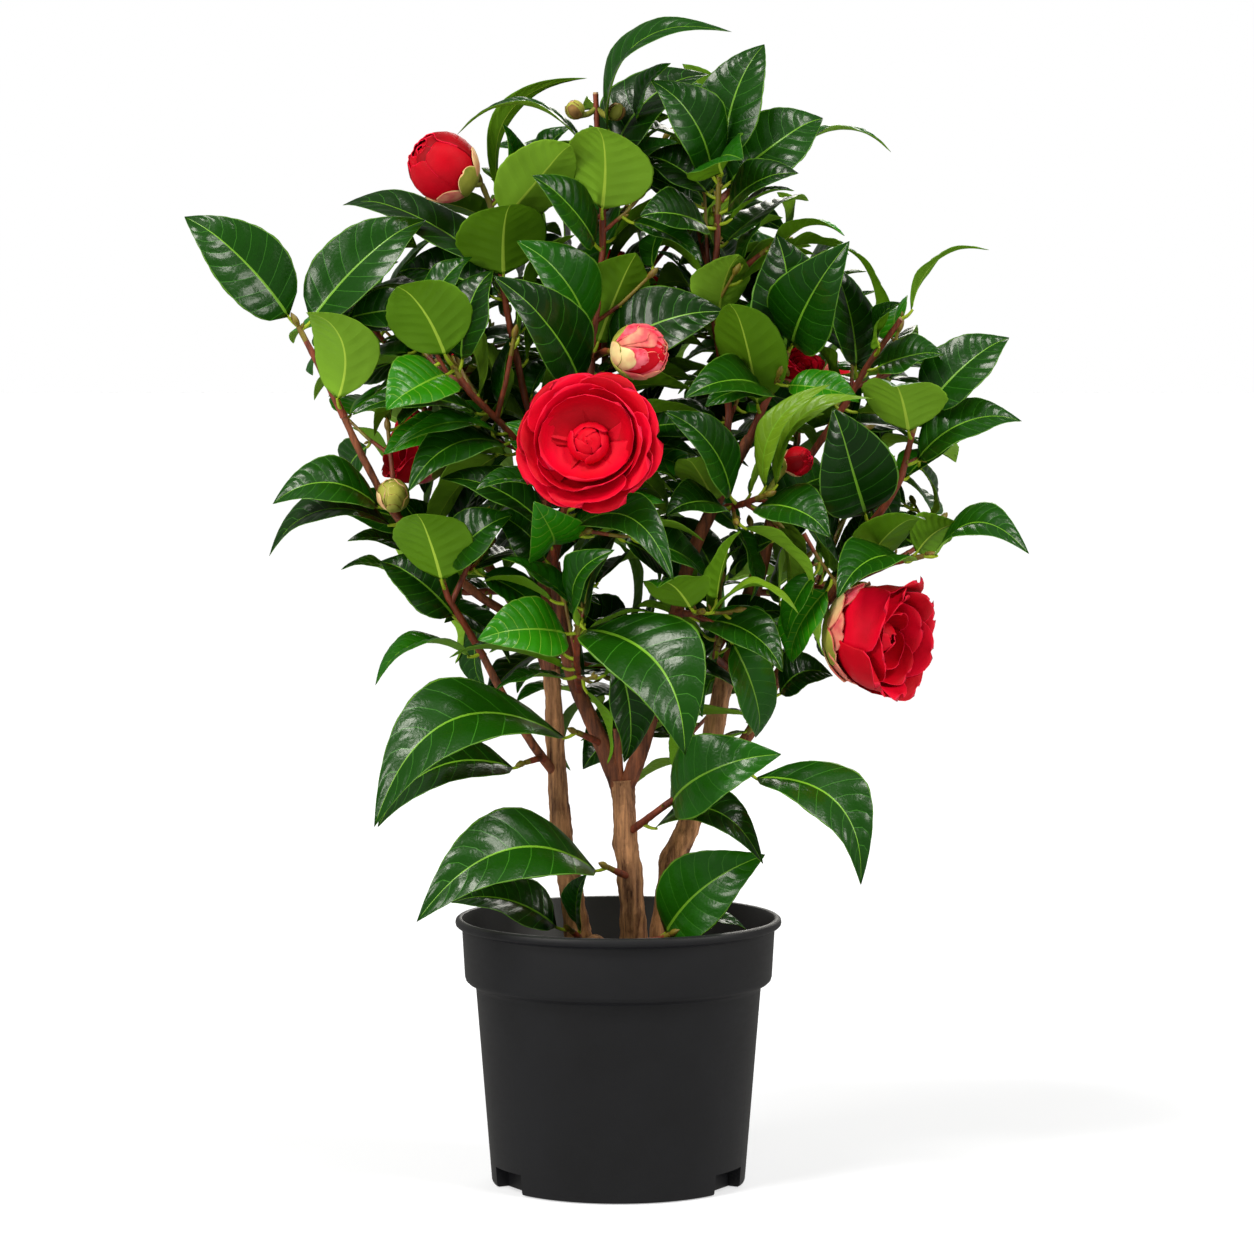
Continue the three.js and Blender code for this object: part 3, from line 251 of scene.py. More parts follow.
      [0, 1, 124, -4, 297, 34, 50, 0.1, 0], [0, 0.6, 66, -20, 330, 34, 50, 0, 0]],
    "blooms": []},
  {"name": "foliage_foot_left", "seed": 28, "side": 0, "more": 2,
    "twigs": [[[4, -18, 180], [0, -26, 184], [-6, -34, 188]]],
    "leaves": [
      [0, 1, -112, -92, 168, 50, 40, 0.17, 1]],
    "blooms": []},
  {"name": "foliage_foot_right", "seed": 29, "side": 0, "more": 2,
    "twigs": [[[16, -10, 140], [24, -18, 144], [30, -26, 148]]],
    "leaves": [
      [0, 0.35, 81, -48, 197, 46, 26, 0, 2], [0, 0.5, 74, -24, 152, 28, 80, 0.06, 1]],
    "blooms": []},
  {"name": "foliage_foot_mid", "seed": 30, "side": 0, "more": 2,
    "twigs": [[[-22, 0, 141], [-24, -16, 146], [-28, -22, 150]]],
    "leaves": [
      [0, 1, -96, -24, 168, 40, 56, 0.06, 0], [0, 0.4, -21, -42, 184, 24, 60, 0, 1]],
    "blooms": []},
  {"name": "foliage_back_left", "seed": 41, "side": 4, "more": 22,
    "twigs": [[[-98, 98, 392.5], [-112, 110, 424], [-120, 112, 460], [-122, 106, 492]]],
    "leaves": [], "blooms": [["flower_cup", 0, -92, 150, 462, 44, -0.3, 0.9, 0.3]]},
  {"name": "foliage_back_left_low", "seed": 42, "side": 3, "more": 16,
    "twigs": [[[-66, 61, 344], [-92, 64, 340], [-120, 62, 348]]],
    "leaves": [], "blooms": []},
  {"name": "foliage_back_mid", "seed": 43, "side": 4, "more": 24,
    "twigs": [[[-8, 80, 462.5], [-8, 88, 500], [-14, 84, 540], [-20, 74, 576]]],
    "leaves": [], "blooms": [["flower_open", 0, -4, 132, 512, 62, 0.1, 0.95, 0.2]]},
  {"name": "foliage_back_right", "seed": 44, "side": 4, "more": 22,
    "twigs": [[[98, 112, 392.5], [108, 118, 428], [108, 112, 464], [100, 96, 500]]],
    "leaves": [], "blooms": [["bud_opening", 0, 126, 138, 460, 36, 0.5, 0.8, 0.3]]},
  {"name": "foliage_back_right_low", "seed": 45, "side": 3, "more": 16,
    "twigs": [[[78, 74, 340], [104, 82, 338], [130, 84, 346]]],
    "leaves": [], "blooms": []},
  {"name": "foliage_back_low", "seed": 46, "side": 3, "more": 12,
    "twigs": [[[52, 33, 240], [40, 62, 262], [20, 84, 284], [4, 96, 306]]],
    "leaves": [
      [0, 0.5, -22, 62, 236, 42, 40, 0, 0], [0, 0.9, -32, 72, 332, 42, 40, 0, 0]],
    "blooms": []},
  {"name": "foliage_back_centre", "seed": 47, "side": 3, "more": 16,
    "twigs": [[[-36, 52, 392], [-30, 84, 390], [-22, 112, 396]]],
    "leaves": [], "blooms": []},
]

# %% [markdown]
# ## Growing by rule
# A real shoot sets its leaves in a spiral, about 137 degrees apart, and a leaf that
# has no room doesn't form. The rule below does the same with seeded numbers, so each
# run grows the same plant. It is the rule that grew the solids, written again here.

# %% Sizes of the rule
PETIOLE = 8  # stalk from the twig to the blade
LEAF_FOLD = 0.26  # rise of the blade's edges over its half width
LEAF_ARCH = 0.1  # rise of the blade's middle over its length
CLEAR = 5.5  # between the sampled points of two leaves
SET_CLEAR = 3.6  # the same for the leaves whose places are set
TWIG_CLEAR = 4.5  # between a leaf and the twigs of its own mass
ROOT_SAMPLES = 35  # samples near a leaf's root, which may touch its twig
BASE_SAMPLES = 15  # the first of them, which may touch the next leaf's root
FRONT_LIMIT = -12  # leaves dealt by the rule stay behind this depth
SPIRAL = 137.5  # degrees from one leaf to the next
LEAF_STEP = 13  # along a twig, from one leaf to the next
LEANS = (0, -10, 10, -20, 20, -30, 30, -40, 40)  # shifts of a leaf's tip in depth
POT_INSIDE = 91  # radius that foliage keeps clear of, below the lip
LIP_HEIGHTS = (132, 138, 144, 150, 154)  # where the inside of the pot is sampled
LIP_SAMPLES = 90  # round the pot, at each of these heights
OUTLINE_PEAK = 0.3644  # of the leaf's outline before it is scaled to 1
DEGREE = math.pi / 180


def unit(v):
    return v / math.sqrt(v @ v)


def seeded_numbers(seed):
    state = seed * 7919 + 17
    while True:
        state = (state * 1664525 + 1013904223) % 4294967296
        yield state / 4294967296


# %% Curves
def point_on(path, t):
    """Point on the smooth curve through a list of points, t from 0 to 1."""
    spans = len(path) - 1
    place = min(max(t, 0), 1) * spans
    i = min(math.floor(place), spans - 1)
    f = place - i
    a, b, c, d = (np.array(path[k], float) for k in (max(i - 1, 0), i, i + 1, min(i + 2, spans)))
    return 0.5 * (2 * b + (c - a) * f + (2 * a - 5 * b + 4 * c - d) * f * f
                  + (3 * b - a - 3 * c + d) * f * f * f)


def direction_on(path, t):
    return unit(point_on(path, t + 0.02) - point_on(path, t - 0.02))


def twig_point(path, t):
    """Point on a twig, which runs straight from node to node."""
    place = min(max(t, 0), 1) * (len(path) - 1)
    i = min(math.floor(place), len(path) - 2)
    a, b = np.array(path[i], float), np.array(path[i + 1], float)
    return a + (b - a) * (place - i)


def length_of(path):
    return sum(math.dist(path[i], path[i - 1]) for i in range(1, len(path)))


def limb_radius(limb, t):
    foot, tip = limb["radius"]
    return (foot + (tip - foot) * t) * (1 + (limb["flare"] - 1) * math.exp(-t * 14))


# %% A leaf's own frame
def outline(r):
    """Share of the greatest half width, from the blade's base at 0 to its tip at 1."""
    return r ** 0.6 * (1 - r) ** 0.9 / OUTLINE_PEAK


def leaf_frame(root, tip, width, turn, bow=0, tone=-1):
    """The frame that a leaf is drawn in; its middle stands up by bow."""
    axis = unit(tip - root)
    base = root + axis * PETIOLE
    front = np.array([0.0, -1.0, 0.0])
    front = unit(front - axis * (front @ axis))
    up = np.cross(axis, front)
    if up[2] < 0:
        up = -up
    face = front * math.cos(turn * DEGREE) + up * math.sin(turn * DEGREE)
    length = math.sqrt((base - tip) @ (base - tip))
    return SimpleNamespace(
        root=root, base=base, axis=axis, face=face, across=np.cross(axis, face), width=width,
        length=length, lift=up * bow * length, tone=tone)


SAMPLE_R = np.repeat(np.arange(2, 21) / 20, 5)
SAMPLE_S = np.tile([-0.9, -0.45, 0, 0.45, 0.9], 19)
SAMPLE_OUTLINE = np.array([outline(r) for r in SAMPLE_R])


def blade_samples(leaf):
    half = 0.5 * leaf.width * SAMPLE_OUTLINE
    rise = (LEAF_ARCH * leaf.length * 4 * SAMPLE_R * (1 - SAMPLE_R)
            + LEAF_FOLD * half * np.abs(SAMPLE_S))
    return (leaf.base + np.outer(leaf.length * SAMPLE_R, leaf.axis)
            + np.outer(half * SAMPLE_S, leaf.across) + np.outer(rise, leaf.face)
            + np.outer(4 * SAMPLE_R * (1 - SAMPLE_R), leaf.lift))


# %% Space that is taken
class TakenSpace:
    """Points already taken up, each with a radius and the mass that owns it."""

    def __init__(self):
        self.rows = np.zeros((400000, 5))
        self.count = 0

    def take(self, points, radius, owner):
        points = np.atleast_2d(points)
        rows = self.rows[self.count:self.count + len(points)]
        rows[:, :3], rows[:, 3], rows[:, 4] = points, radius, owner
        self.count += len(points)

    def is_clear(self, points, margin, owner, free=0):
        """Is every point clear? The first ones, up to free, may lie near their own twig."""
        points = np.atleast_2d(points)
        low, high = points.min(axis=0), points.max(axis=0)
        near = self.rows[:self.count]
        reach = (margin + near[:, 3])[:, None]
        near = near[((near[:, :3] > low - reach) & (near[:, :3] < high + reach)).all(axis=1)]
        if not len(near):
            return True
        gap = ((points[:, None, :] - near[None, :, :3]) ** 2).sum(axis=2)
        mine = near[:, 4] == owner
        own = mine & (near[:, 3] > 0) & (near[:, 3] < 3)
        reach = np.where(own, TWIG_CLEAR, margin + near[:, 3]) + np.zeros((len(points), 1))
        reach[:free, own] = 0
        reach[:BASE_SAMPLES, mine & (near[:, 3] == 0)] = 0
        return bool((gap >= reach ** 2).all())


def inside_crown(points):
    points = np.atleast_2d(points)
    rows = np.array(CROWN, float)
    z = points[:, 2]
    left, right, deep = (np.interp(z, rows[:, 0], rows[:, k]) for k in (1, 2, 3))
    across = (points[:, 0] - (left + right) / 2) / ((right - left) / 2)
    held = (z >= rows[0, 0]) & (z <= rows[-1, 0])
    return bool((held & (across ** 2 + (points[:, 1] / deep) ** 2 <= 1)).all())


# %% Wood first
space = TakenSpace()
for i in range(LIP_SAMPLES):
    angle = 2 * math.pi * i / LIP_SAMPLES
    for z in LIP_HEIGHTS:
        space.take([POT_INSIDE * math.cos(angle), POT_INSIDE * math.sin(angle), z], 3, -1)
for limb in LIMBS.values():
    steps = math.ceil(length_of(limb["path"]) / 6)
    for i in range(steps + 1):
        space.take(point_on(limb["path"], i / steps), limb_radius(limb, i / steps) + 1, -1)


def take_twig(path, owner):
    steps = math.ceil(length_of(path) / 5)
    space.take([twig_point(path, i / steps) for i in range(steps + 1)], 1.8, owner)


plants = [SimpleNamespace(
    name=mass["name"], seed=mass["seed"], side=mass["side"], more=mass["more"],
    front=mass.get("front", FRONT_LIMIT), rows=mass["leaves"], blooms=mass["blooms"],
    twigs=list(mass["twigs"]), main=len(mass["twigs"]), grown=[]) for mass in MASSES]
for owner, plant in enumerate(plants):
    for path in plant.twigs:
        take_twig(path, owner)
    for bloom in plant.blooms:
        space.take(bloom[2:5], bloom[5] * 0.5, owner)

# %% Leaves whose places are known
for owner, plant in enumerate(plants):
    for twig, place, x, y, z, width, turn, bow, tone in plant.rows:
        root = twig_point(plant.twigs[twig], place)
        for lean in LEANS:
            leaf = leaf_frame(root, np.array([x, y + lean, z], float), width, turn, bow, tone)
            if space.is_clear(blade_samples(leaf), SET_CLEAR, owner, None):
                space.take(blade_samples(leaf), 0, owner)
                plant.grown.append(leaf)
                break
print("leaves with a known place:", sum(len(plant.grown) for plant in plants))


# %% Side twigs and the leaves of the spiral
def around(path, t, azimuth, rise):
    way = direction_on(path, t)
    first = unit(np.cross([0.31, 0.22, 0.93], way))
    turned = first * math.cos(azimuth * DEGREE) + np.cross(way, first) * math.sin(azimuth * DEGREE)
    return turned * math.cos(rise * DEGREE) + way * math.sin(rise * DEGREE)


def grow_side_twigs(plant, owner, random):
    for k in range(plant.side):
        t = 0.3 + 0.6 * (k + 0.5) / plant.side
        turn = next(random) * 360
        size = 38 + 26 * next(random)
        for attempt in range(8):
            start = twig_point(plant.twigs[0], t)
            way = around(plant.twigs[0], t, turn + k * SPIRAL + attempt * 45, 35)
            end = start + way * size + np.array([0, 0, size * 0.15])
            path = [start.tolist(), (start + way * size * 0.5).tolist(), end.tolist()]
            samples = np.array([twig_point(path, u) for u in (0.4, 0.6, 0.8, 1)])
            if inside_crown(end) and end[1] > plant.front and space.is_clear(samples, CLEAR, owner):
                plant.twigs.append(path)
                take_twig(path, owner)
                break


def grow_leaves(plant, owner, random):
    before = len(plant.grown)
    for path in plant.twigs:
        count = math.floor(length_of(path) / LEAF_STEP)
        for j in range(count):
            if len(plant.grown) - before >= plant.more:
                break
            t = 1 - j / (count + 1)
            root = twig_point(path, t)
            size = 52 + 26 * next(random)
            rise = 12 + 40 * t * next(random) + 10 * t
            width = size * (0.5 + 0.08 * next(random))
            for attempt in range(7):
                way = around(path, t, j * SPIRAL + attempt * 51, rise)
                turn = 90 + (next(random) - 0.5) * 50
                leaf = leaf_frame(root, root + way * (size + PETIOLE), width, turn)
                samples = blade_samples(leaf)
                inside = inside_crown(samples) and samples[:, 1].min() > plant.front
                if inside and space.is_clear(samples, CLEAR, owner, ROOT_SAMPLES):
                    space.take(samples, 0, owner)
                    plant.grown.append(leaf)
                    break


for owner, plant in enumerate(plants):
    random = seeded_numbers(plant.seed)
    grow_side_twigs(plant, owner, random)
    grow_leaves(plant, owner, random)
print("leaves of the solids:", sum(len(plant.grown) for plant in plants))

# %% [markdown]
# ## Finer twigs
# The solids stop at the twigs that carry the plant's outline. The real shrub goes on:
# short shoots fill each mass, with smaller leaves. They grow by the same spiral inside
# the same crown, and leave open the places where the sky shows through.

# %% Finer twigs and their leaves
# Openings that show the sky from the front: place across, height and radius.
SKY = [
    (-108, 545, 10), (-135, 570, 14), (5, 350, 11), (80, 391, 6), (-154, 568, 9), (-170, 570, 8),
    (-101, 549, 11), (-71, 506, 8), (-45, 497, 6), (133, 526, 11), (-117, 328, 13),
]
FINE_CLEAR = 3.2  # between the sampled points of the smaller leaves
FINE_STEP = 7  # along a twig, from one of them to the next
SHOOT_STEP = 24  # along a twig, from one short shoot to the next
FEWEST_LEAVES = 2  # a shoot with fewer isn't kept


def shows_sky(points):
    """Would a leaf here close one of the openings, as seen from the front?"""
    return any(((points[:, 0] - x) ** 2 + (points[:, 2] - z) ** 2).min() < radius ** 2
               for x, z, radius in SKY)


def leaves_along(plant, owner, path, random):
    """Takes the space of the leaves that find room along one twig, and returns them."""
    found = []
    count = max(2, math.floor(length_of(path) / FINE_STEP))
    for j in range(count):
        t = 1 - j / (count + 0.5)
        root = twig_point(path, t)
        size = 40 + 30 * next(random)
        rise = 5 + 45 * t * next(random) + 12 * t
        width = size * (0.5 + 0.09 * next(random))
        for attempt in range(8):
            way = around(path, t, j * SPIRAL + attempt * 47 + 20, rise)
            turn = 78 + (next(random) - 0.5) * 80
            leaf = leaf_frame(root, root + way * (size + PETIOLE), width, turn)
            samples = blade_samples(leaf)
            if (inside_crown(samples) and samples[:, 1].min() > plant.front and not shows_sky(samples)
                    and space.is_clear(samples, FINE_CLEAR, owner, ROOT_SAMPLES)):
                space.take(samples, 0, owner)
                found.append(leaf)
                break
    return found


def grow_finer(plant, owner, random):
    wood = list(plant.twigs)
    for path in wood:
        shoots = max(1, round(length_of(path) / SHOOT_STEP))
        for k in range(shoots):
            t = 0.15 + 0.8 * (k + 0.5) / shoots
            size = 22 + 18 * next(random)
            turn = next(random) * 360
            for attempt in range(6):
                start = twig_point(path, t)
                way = around(path, t, turn + attempt * 61, 40)
                end = start + way * size + np.array([0, 0, size * 0.1])
                shoot = [start.tolist(), (start + way * size * 0.5).tolist(), end.tolist()]
                samples = np.array([twig_point(shoot, u) for u in (0.4, 0.6, 0.8, 1)])
                if not (inside_crown(end) and end[1] > plant.front and not shows_sky(samples)
                        and space.is_clear(samples, CLEAR, owner)):
                    continue
                before = space.count
                take_twig(shoot, owner)
                found = leaves_along(plant, owner, shoot, random)
                if len(found) >= FEWEST_LEAVES:
                    plant.fine.append(shoot)
                    plant.grown += found
                    break
                space.count = before
    for path in wood:
        plant.grown += leaves_along(plant, owner, path, random)


for owner, plant in enumerate(plants):
    plant.fine = []
    grow_finer(plant, owner, seeded_numbers(plant.seed + 500))
print("leaves in all:", sum(len(plant.grown) for plant in plants),
      "finer twigs:", sum(len(plant.fine) for plant in plants))

# %% [markdown]
# ## A heap of mesh
# Blender is quickest when a whole mesh is handed over at once. The heap gathers the
# points and faces of many leaves or petals, each face with the slot of its finish.

# %% Gather points and faces
MM = 0.001


class Heap:
    def __init__(self):
        self.points, self.faces, self.slots = [], [], []
        self.count = 0

    def add(self, points, faces, slots):
        """Points in millimetres, faces as rows of corners, and a slot for each face."""
        points = np.asarray(points, float).reshape(-1, 3)
        faces = np.asarray(faces, int)
        self.points.append(points)
        self.faces.append(faces + self.count)
        self.slots.append(np.zeros(len(faces), int) + slots)
        self.count += len(points)

    def build(self, name, finishes, nodes=()):
        """Makes the piece, which rides on the plant and stands for its nodes."""
        mesh = bpy.data.meshes.new(name)
        sides = np.concatenate([np.full(len(f), f.shape[1]) for f in self.faces])
        corners = np.concatenate([f.ravel() for f in self.faces])
        points = np.concatenate(self.points) * MM
        mesh.vertices.add(len(points))
        mesh.vertices.foreach_set("co", points.ravel())
        mesh.loops.add(len(corners))
        mesh.loops.foreach_set("vertex_index", corners)
        mesh.polygons.add(len(sides))
        mesh.polygons.foreach_set("loop_start", np.concatenate([[0], np.cumsum(sides)[:-1]]))
        mesh.polygons.foreach_set("material_index", np.concatenate(self.slots))
        mesh.polygons.foreach_set("use_smooth", np.ones(len(sides), bool))
        mesh.update(calc_edges=True)
        for finish in finishes:
            mesh.materials.append(finish)
        piece = bpy.data.objects.new(name, mesh)
        bpy.context.collection.objects.link(piece)
        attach(piece, "root")
        if nodes:
            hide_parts(*nodes)
        print(name, "has", int((sides - 2).sum()), "triangles")
        return piece


def grid_faces(rows, columns, wrap=False):
    """Quads of a grid of points, wrapped round into a tube where asked."""
    across = columns if wrap else columns - 1
    j, i = np.meshgrid(np.arange(rows - 1), np.arange(across), indexing="ij")
    a, b = j * columns + i, j * columns + (i + 1) % columns
    return np.stack([a, b, b + columns, a + columns], axis=-1).reshape(-1, 4)


# %% Two grids sewn into a blade
def halves(faces):
    """Triangles of four-sided faces. The two sides of a leaf or petal are split along
    the same diagonals, so neither side comes through the other where it is twisted."""
    return np.concatenate([faces[:, [0, 1, 2]], faces[:, [0, 2, 3]]])


def sewn_grids(rows, columns):
    """A grid and a second one under it that shares its edge. Gives the points that the
    second grid adds, the faces of both, and the row and column that each face lies in."""
    inner = np.zeros((rows, columns), bool)
    inner[1:-1, 1:-1] = True
    under = np.arange(rows * columns).reshape(rows, columns)
    under[inner] = rows * columns + np.arange(inner.sum())
    upper_faces = halves(grid_faces(rows, columns))
    under_faces = under.ravel()[upper_faces][:, ::-1]
    face_row = np.tile(np.repeat(np.arange(rows - 1), columns - 1), 2)
    face_column = np.tile(np.arange(columns - 1), 2 * (rows - 1))
    return inner, np.vstack([upper_faces, under_faces]), face_row, face_column


def fan_faces(sides, way):
    """Triangles from a ring of points to the point that follows them. A way of -1 turns
    them over."""
    ring = np.arange(sides)
    return np.stack([ring, (ring + 1) % sides, np.full(sides, sides)], axis=-1)[:, ::way]


# %% [markdown]
# ## Finishes as sums
# A finish is a tree of small nodes. To keep it readable, a socket is wrapped so that
# plus and times add the matching node, and one method makes every other node.

# %% Sockets that can be added and multiplied
class Wire:
    def __init__(self, finish, socket):
        self.finish, self.socket = finish, socket

    def maths(self, operation, other):
        return self.finish.node("ShaderNodeMath", {"operation": operation}, {0: self, 1: other})

    def __add__(self, other):
        return self.maths("ADD", other)

    def __mul__(self, other):
        return self.maths("MULTIPLY", other)

    __radd__, __rmul__ = __add__, __mul__


class Finish:
    def __init__(self, name):
        self.material = bpy.data.materials.new(name)
        self.material.use_nodes = True
        self.tree = self.material.node_tree
        self.tree.nodes.clear()

    def node(self, kind, settings=None, sockets=None, out=0):
        """One node. A ramp's stops are its two places, each with a colour."""
        made = self.tree.nodes.new(kind)
        for key, value in (settings or {}).items():
            if key == "stops":
                for stop, (place, tint) in zip(made.color_ramp.elements, value, strict=True):
                    stop.position, stop.color = place, tint
            else:
                setattr(made, key, value)
        for key, value in (sockets or {}).items():
            if isinstance(value, Wire):
                self.tree.links.new(value.socket, made.inputs[key])
            else:
                made.inputs[key].default_value = value
        return Wire(self, made.outputs[out])

    def place(self):
        return self.node("ShaderNodeTexCoord", out="Object")

    def noise(self, scale, detail=3.0, rough=0.55, stretch=(1, 1, 1)):
        where = self.node("ShaderNodeMapping", {}, {"Vector": self.place(), "Scale": stretch})
        return self.node("ShaderNodeTexNoise", {},
                         {"Vector": where, "Scale": scale, "Detail": detail, "Roughness": rough})

    def blend(self, share, first, second):
        return self.node("ShaderNodeMix", {"data_type": "RGBA"}, {0: share, 6: first, 7: second}, out=2)

    def bump(self, height, strength, depth):
        return self.node("ShaderNodeBump", {}, {"Strength": strength, "Distance": depth, "Height": height})

    def surface(self, **sockets):
        """Ends the finish in the shader. An underscore in a name stands for a space."""
        values = {key.replace("_", " "): value for key, value in sockets.items()}
        shader = self.node("ShaderNodeBsdfPrincipled", {}, values, out="BSDF")
        end = self.tree.nodes.new("ShaderNodeOutputMaterial")
        self.tree.links.new(shader.socket, end.inputs["Surface"])
        return self.material


def colour(red, green, blue):
    """A colour as a paint chart gives it, 0 to 255, turned into light."""
    chart = [c / 255 for c in (red, green, blue)]
    return [c / 12.92 if c <= 0.04045 else ((c + 0.055) / 1.055) ** 2.4 for c in chart] + [1]


def shade(tone, share):
    """The same colour, darker or lighter by a share."""
    return [c * share for c in tone[:3]] + [1]


# %% [markdown]
# ## Leaf finishes
# A camellia leaf is dark, waxy green above and pale, dull green below. Young leaves
# are brighter. Midrib, side veins and the toothed edge are paler lines, so each has a
# finish of its own and the mesh decides where it runs. The wax is a clear coat over a
# blade that is faintly netted with veins too fine to model.

# %% Leaf finishes
def leaf_finish(name, tone, rough, wax, coat, net=0.42, fleck=0.75):
    """net is the strength of the fine relief, and fleck the darkest share of the tone."""
    finish = Finish(name)
    mottle = finish.noise(45, 4, 0.6)
    vein_net = finish.node("ShaderNodeTexVoronoi", {"feature": "DISTANCE_TO_EDGE"},
                           {"Vector": finish.place(), "Scale": 340.0})
    height = vein_net * 0.7 + finish.noise(70, 2, 0.5) * 1.7
    return finish.surface(
        Base_Color=finish.blend(mottle, shade(tone, fleck), shade(tone, 2 - fleck)),
        Roughness=mottle * 0.14 + (rough - 0.07),
        Normal=finish.bump(height, net, 0.0006),
        Specular_IOR_Level=wax, Coat_Weight=coat, Coat_Roughness=0.12)


LEAF_FINISHES = [
    leaf_finish("leaf upper darkest", colour(12, 46, 2), 0.3, 0.22, 0.12),
    leaf_finish("leaf upper dark", colour(16, 60, 2), 0.3, 0.22, 0.12),
    leaf_finish("leaf upper green", colour(22, 78, 2), 0.31, 0.22, 0.12),
    leaf_finish("leaf upper fresh", colour(34, 108, 2), 0.33, 0.22, 0.1),
    leaf_finish("leaf upper bright", colour(94, 128, 20), 0.38, 0.26, 0.05),
    leaf_finish("leaf side vein", colour(46, 104, 18), 0.36, 0.3, 0.08, 0.2),
    leaf_finish("leaf side vein of young leaves", colour(118, 154, 44), 0.38, 0.26, 0.05, 0.2),
    leaf_finish("leaf midrib", colour(102, 152, 34), 0.38, 0.3, 0.08, 0.2),
    leaf_finish("leaf edge", colour(78, 124, 26), 0.42, 0.3, 0.08, 0.2),
    leaf_finish("leaf underside", colour(84, 126, 14), 0.6, 0.12, 0.0, 0.15, 0.93),
    leaf_finish("leaf underside pale", colour(110, 152, 34), 0.6, 0.12, 0.0, 0.15, 0.93),
    leaf_finish("leaf underside midrib", colour(160, 190, 60), 0.55, 0.14, 0.0, 0.15, 0.93),
    leaf_finish("leaf stalk", colour(150, 172, 34), 0.45, 0.22, 0.05, 0.2, 0.9),
]
FRESH, YOUNG = 3, 4
YOUNG_SLIM = 0.6  # width of a young leaf, as a share of a grown one's
VEIN, VEIN_YOUNG, RIB, EDGE, UNDER, UNDER_PALE, UNDER_RIB, STALK = range(5, 13)
print(len(LEAF_FINISHES), "leaf finishes")

# %% [markdown]
# ## The leaf
# The blade is an ellipse drawn out to a point, with a finely toothed edge. Its side
# veins leave the midrib slantwise and curve towards the tip, and the panels between
# them are quilted. So the grid's rows follow the veins: two close rows make each vein
# a narrow strip, and the rows between them rise. The underside is a second grid half
# a millimetre below, sewn to the first along the edge.

# %% The leaf's grid
VEIN_PLACES = (0.05, 0.14, 0.25, 0.37, 0.49, 0.61, 0.72, 0.82)
VEIN_HALF = 0.0022  # of the blade's length
VEINS_END = 0.93  # where the plain tip begins
ROW_PLACES, ROW_PHASE, ROW_VEIN = [0.0], [0.0], []
for k, spot in enumerate(VEIN_PLACES):
    after = VEIN_PLACES[k + 1] if k + 1 < len(VEIN_PLACES) else VEINS_END
    span = after - spot
    ROW_VEIN += [False, True, False, False]
    ROW_PLACES += [spot - VEIN_HALF, spot + VEIN_HALF, spot + 0.34 * span, spot + 0.67 * span]
    ROW_PHASE += [0.0, 0.0, 1.0, 0.9]
ROW_PLACES += [VEINS_END, 0.965, 1.0]
ROW_PHASE += [0.2, 0.0, 0.0]
ROW_VEIN += [False, False, False]
COLUMNS = np.array([-1, -0.972, -0.68, -0.36, -0.026, 0.026, 0.36, 0.68, 0.972, 1.0])
ROWS = np.array(ROW_PLACES)
PHASE = np.array(ROW_PHASE)
SKEW = 0.17  # how far the side veins lean towards the tip
GRID_S = ROWS[:, None] + SKEW * np.abs(COLUMNS) ** 1.3 * 4 * ROWS[:, None] * (1 - ROWS[:, None])
HALF_WIDTH = np.maximum((GRID_S ** 0.6 * np.clip(1 - GRID_S, 0, 1) ** 0.92 / OUTLINE_PEAK), 0.03)
HALF_WIDTH[-1] = 0.008
GRID_T = np.tile(COLUMNS, (len(ROWS), 1))
ON_RIB = np.abs(GRID_T) < 0.05
# The midrib is broad at the leaf's foot and thins out towards the tip.
GRID_T[ON_RIB] *= np.clip(1.5 * (1.12 - GRID_S) / np.maximum(HALF_WIDTH, 0.15), 0.5, 6)[ON_RIB]
TEETH = np.where(PHASE > 0.5, 0.022, 0.0)[:, None] * (np.abs(GRID_T) > 0.99)
QUILT = PHASE[:, None] * np.minimum(np.abs(GRID_T) / 0.3, 1) * (1 - GRID_T ** 6)

# %% The leaf's faces and slots
LEAF_INNER, LEAF_FACES, face_row, face_column = sewn_grids(*GRID_S.shape)
last_column = GRID_S.shape[1] - 2
IS_EDGE = (face_column == 0) | (face_column == last_column)
IS_VEIN = np.array(ROW_VEIN)[face_row] & ~IS_EDGE
IS_RIB = face_column == last_column // 2
print("a leaf has", len(LEAF_FACES), "triangles")


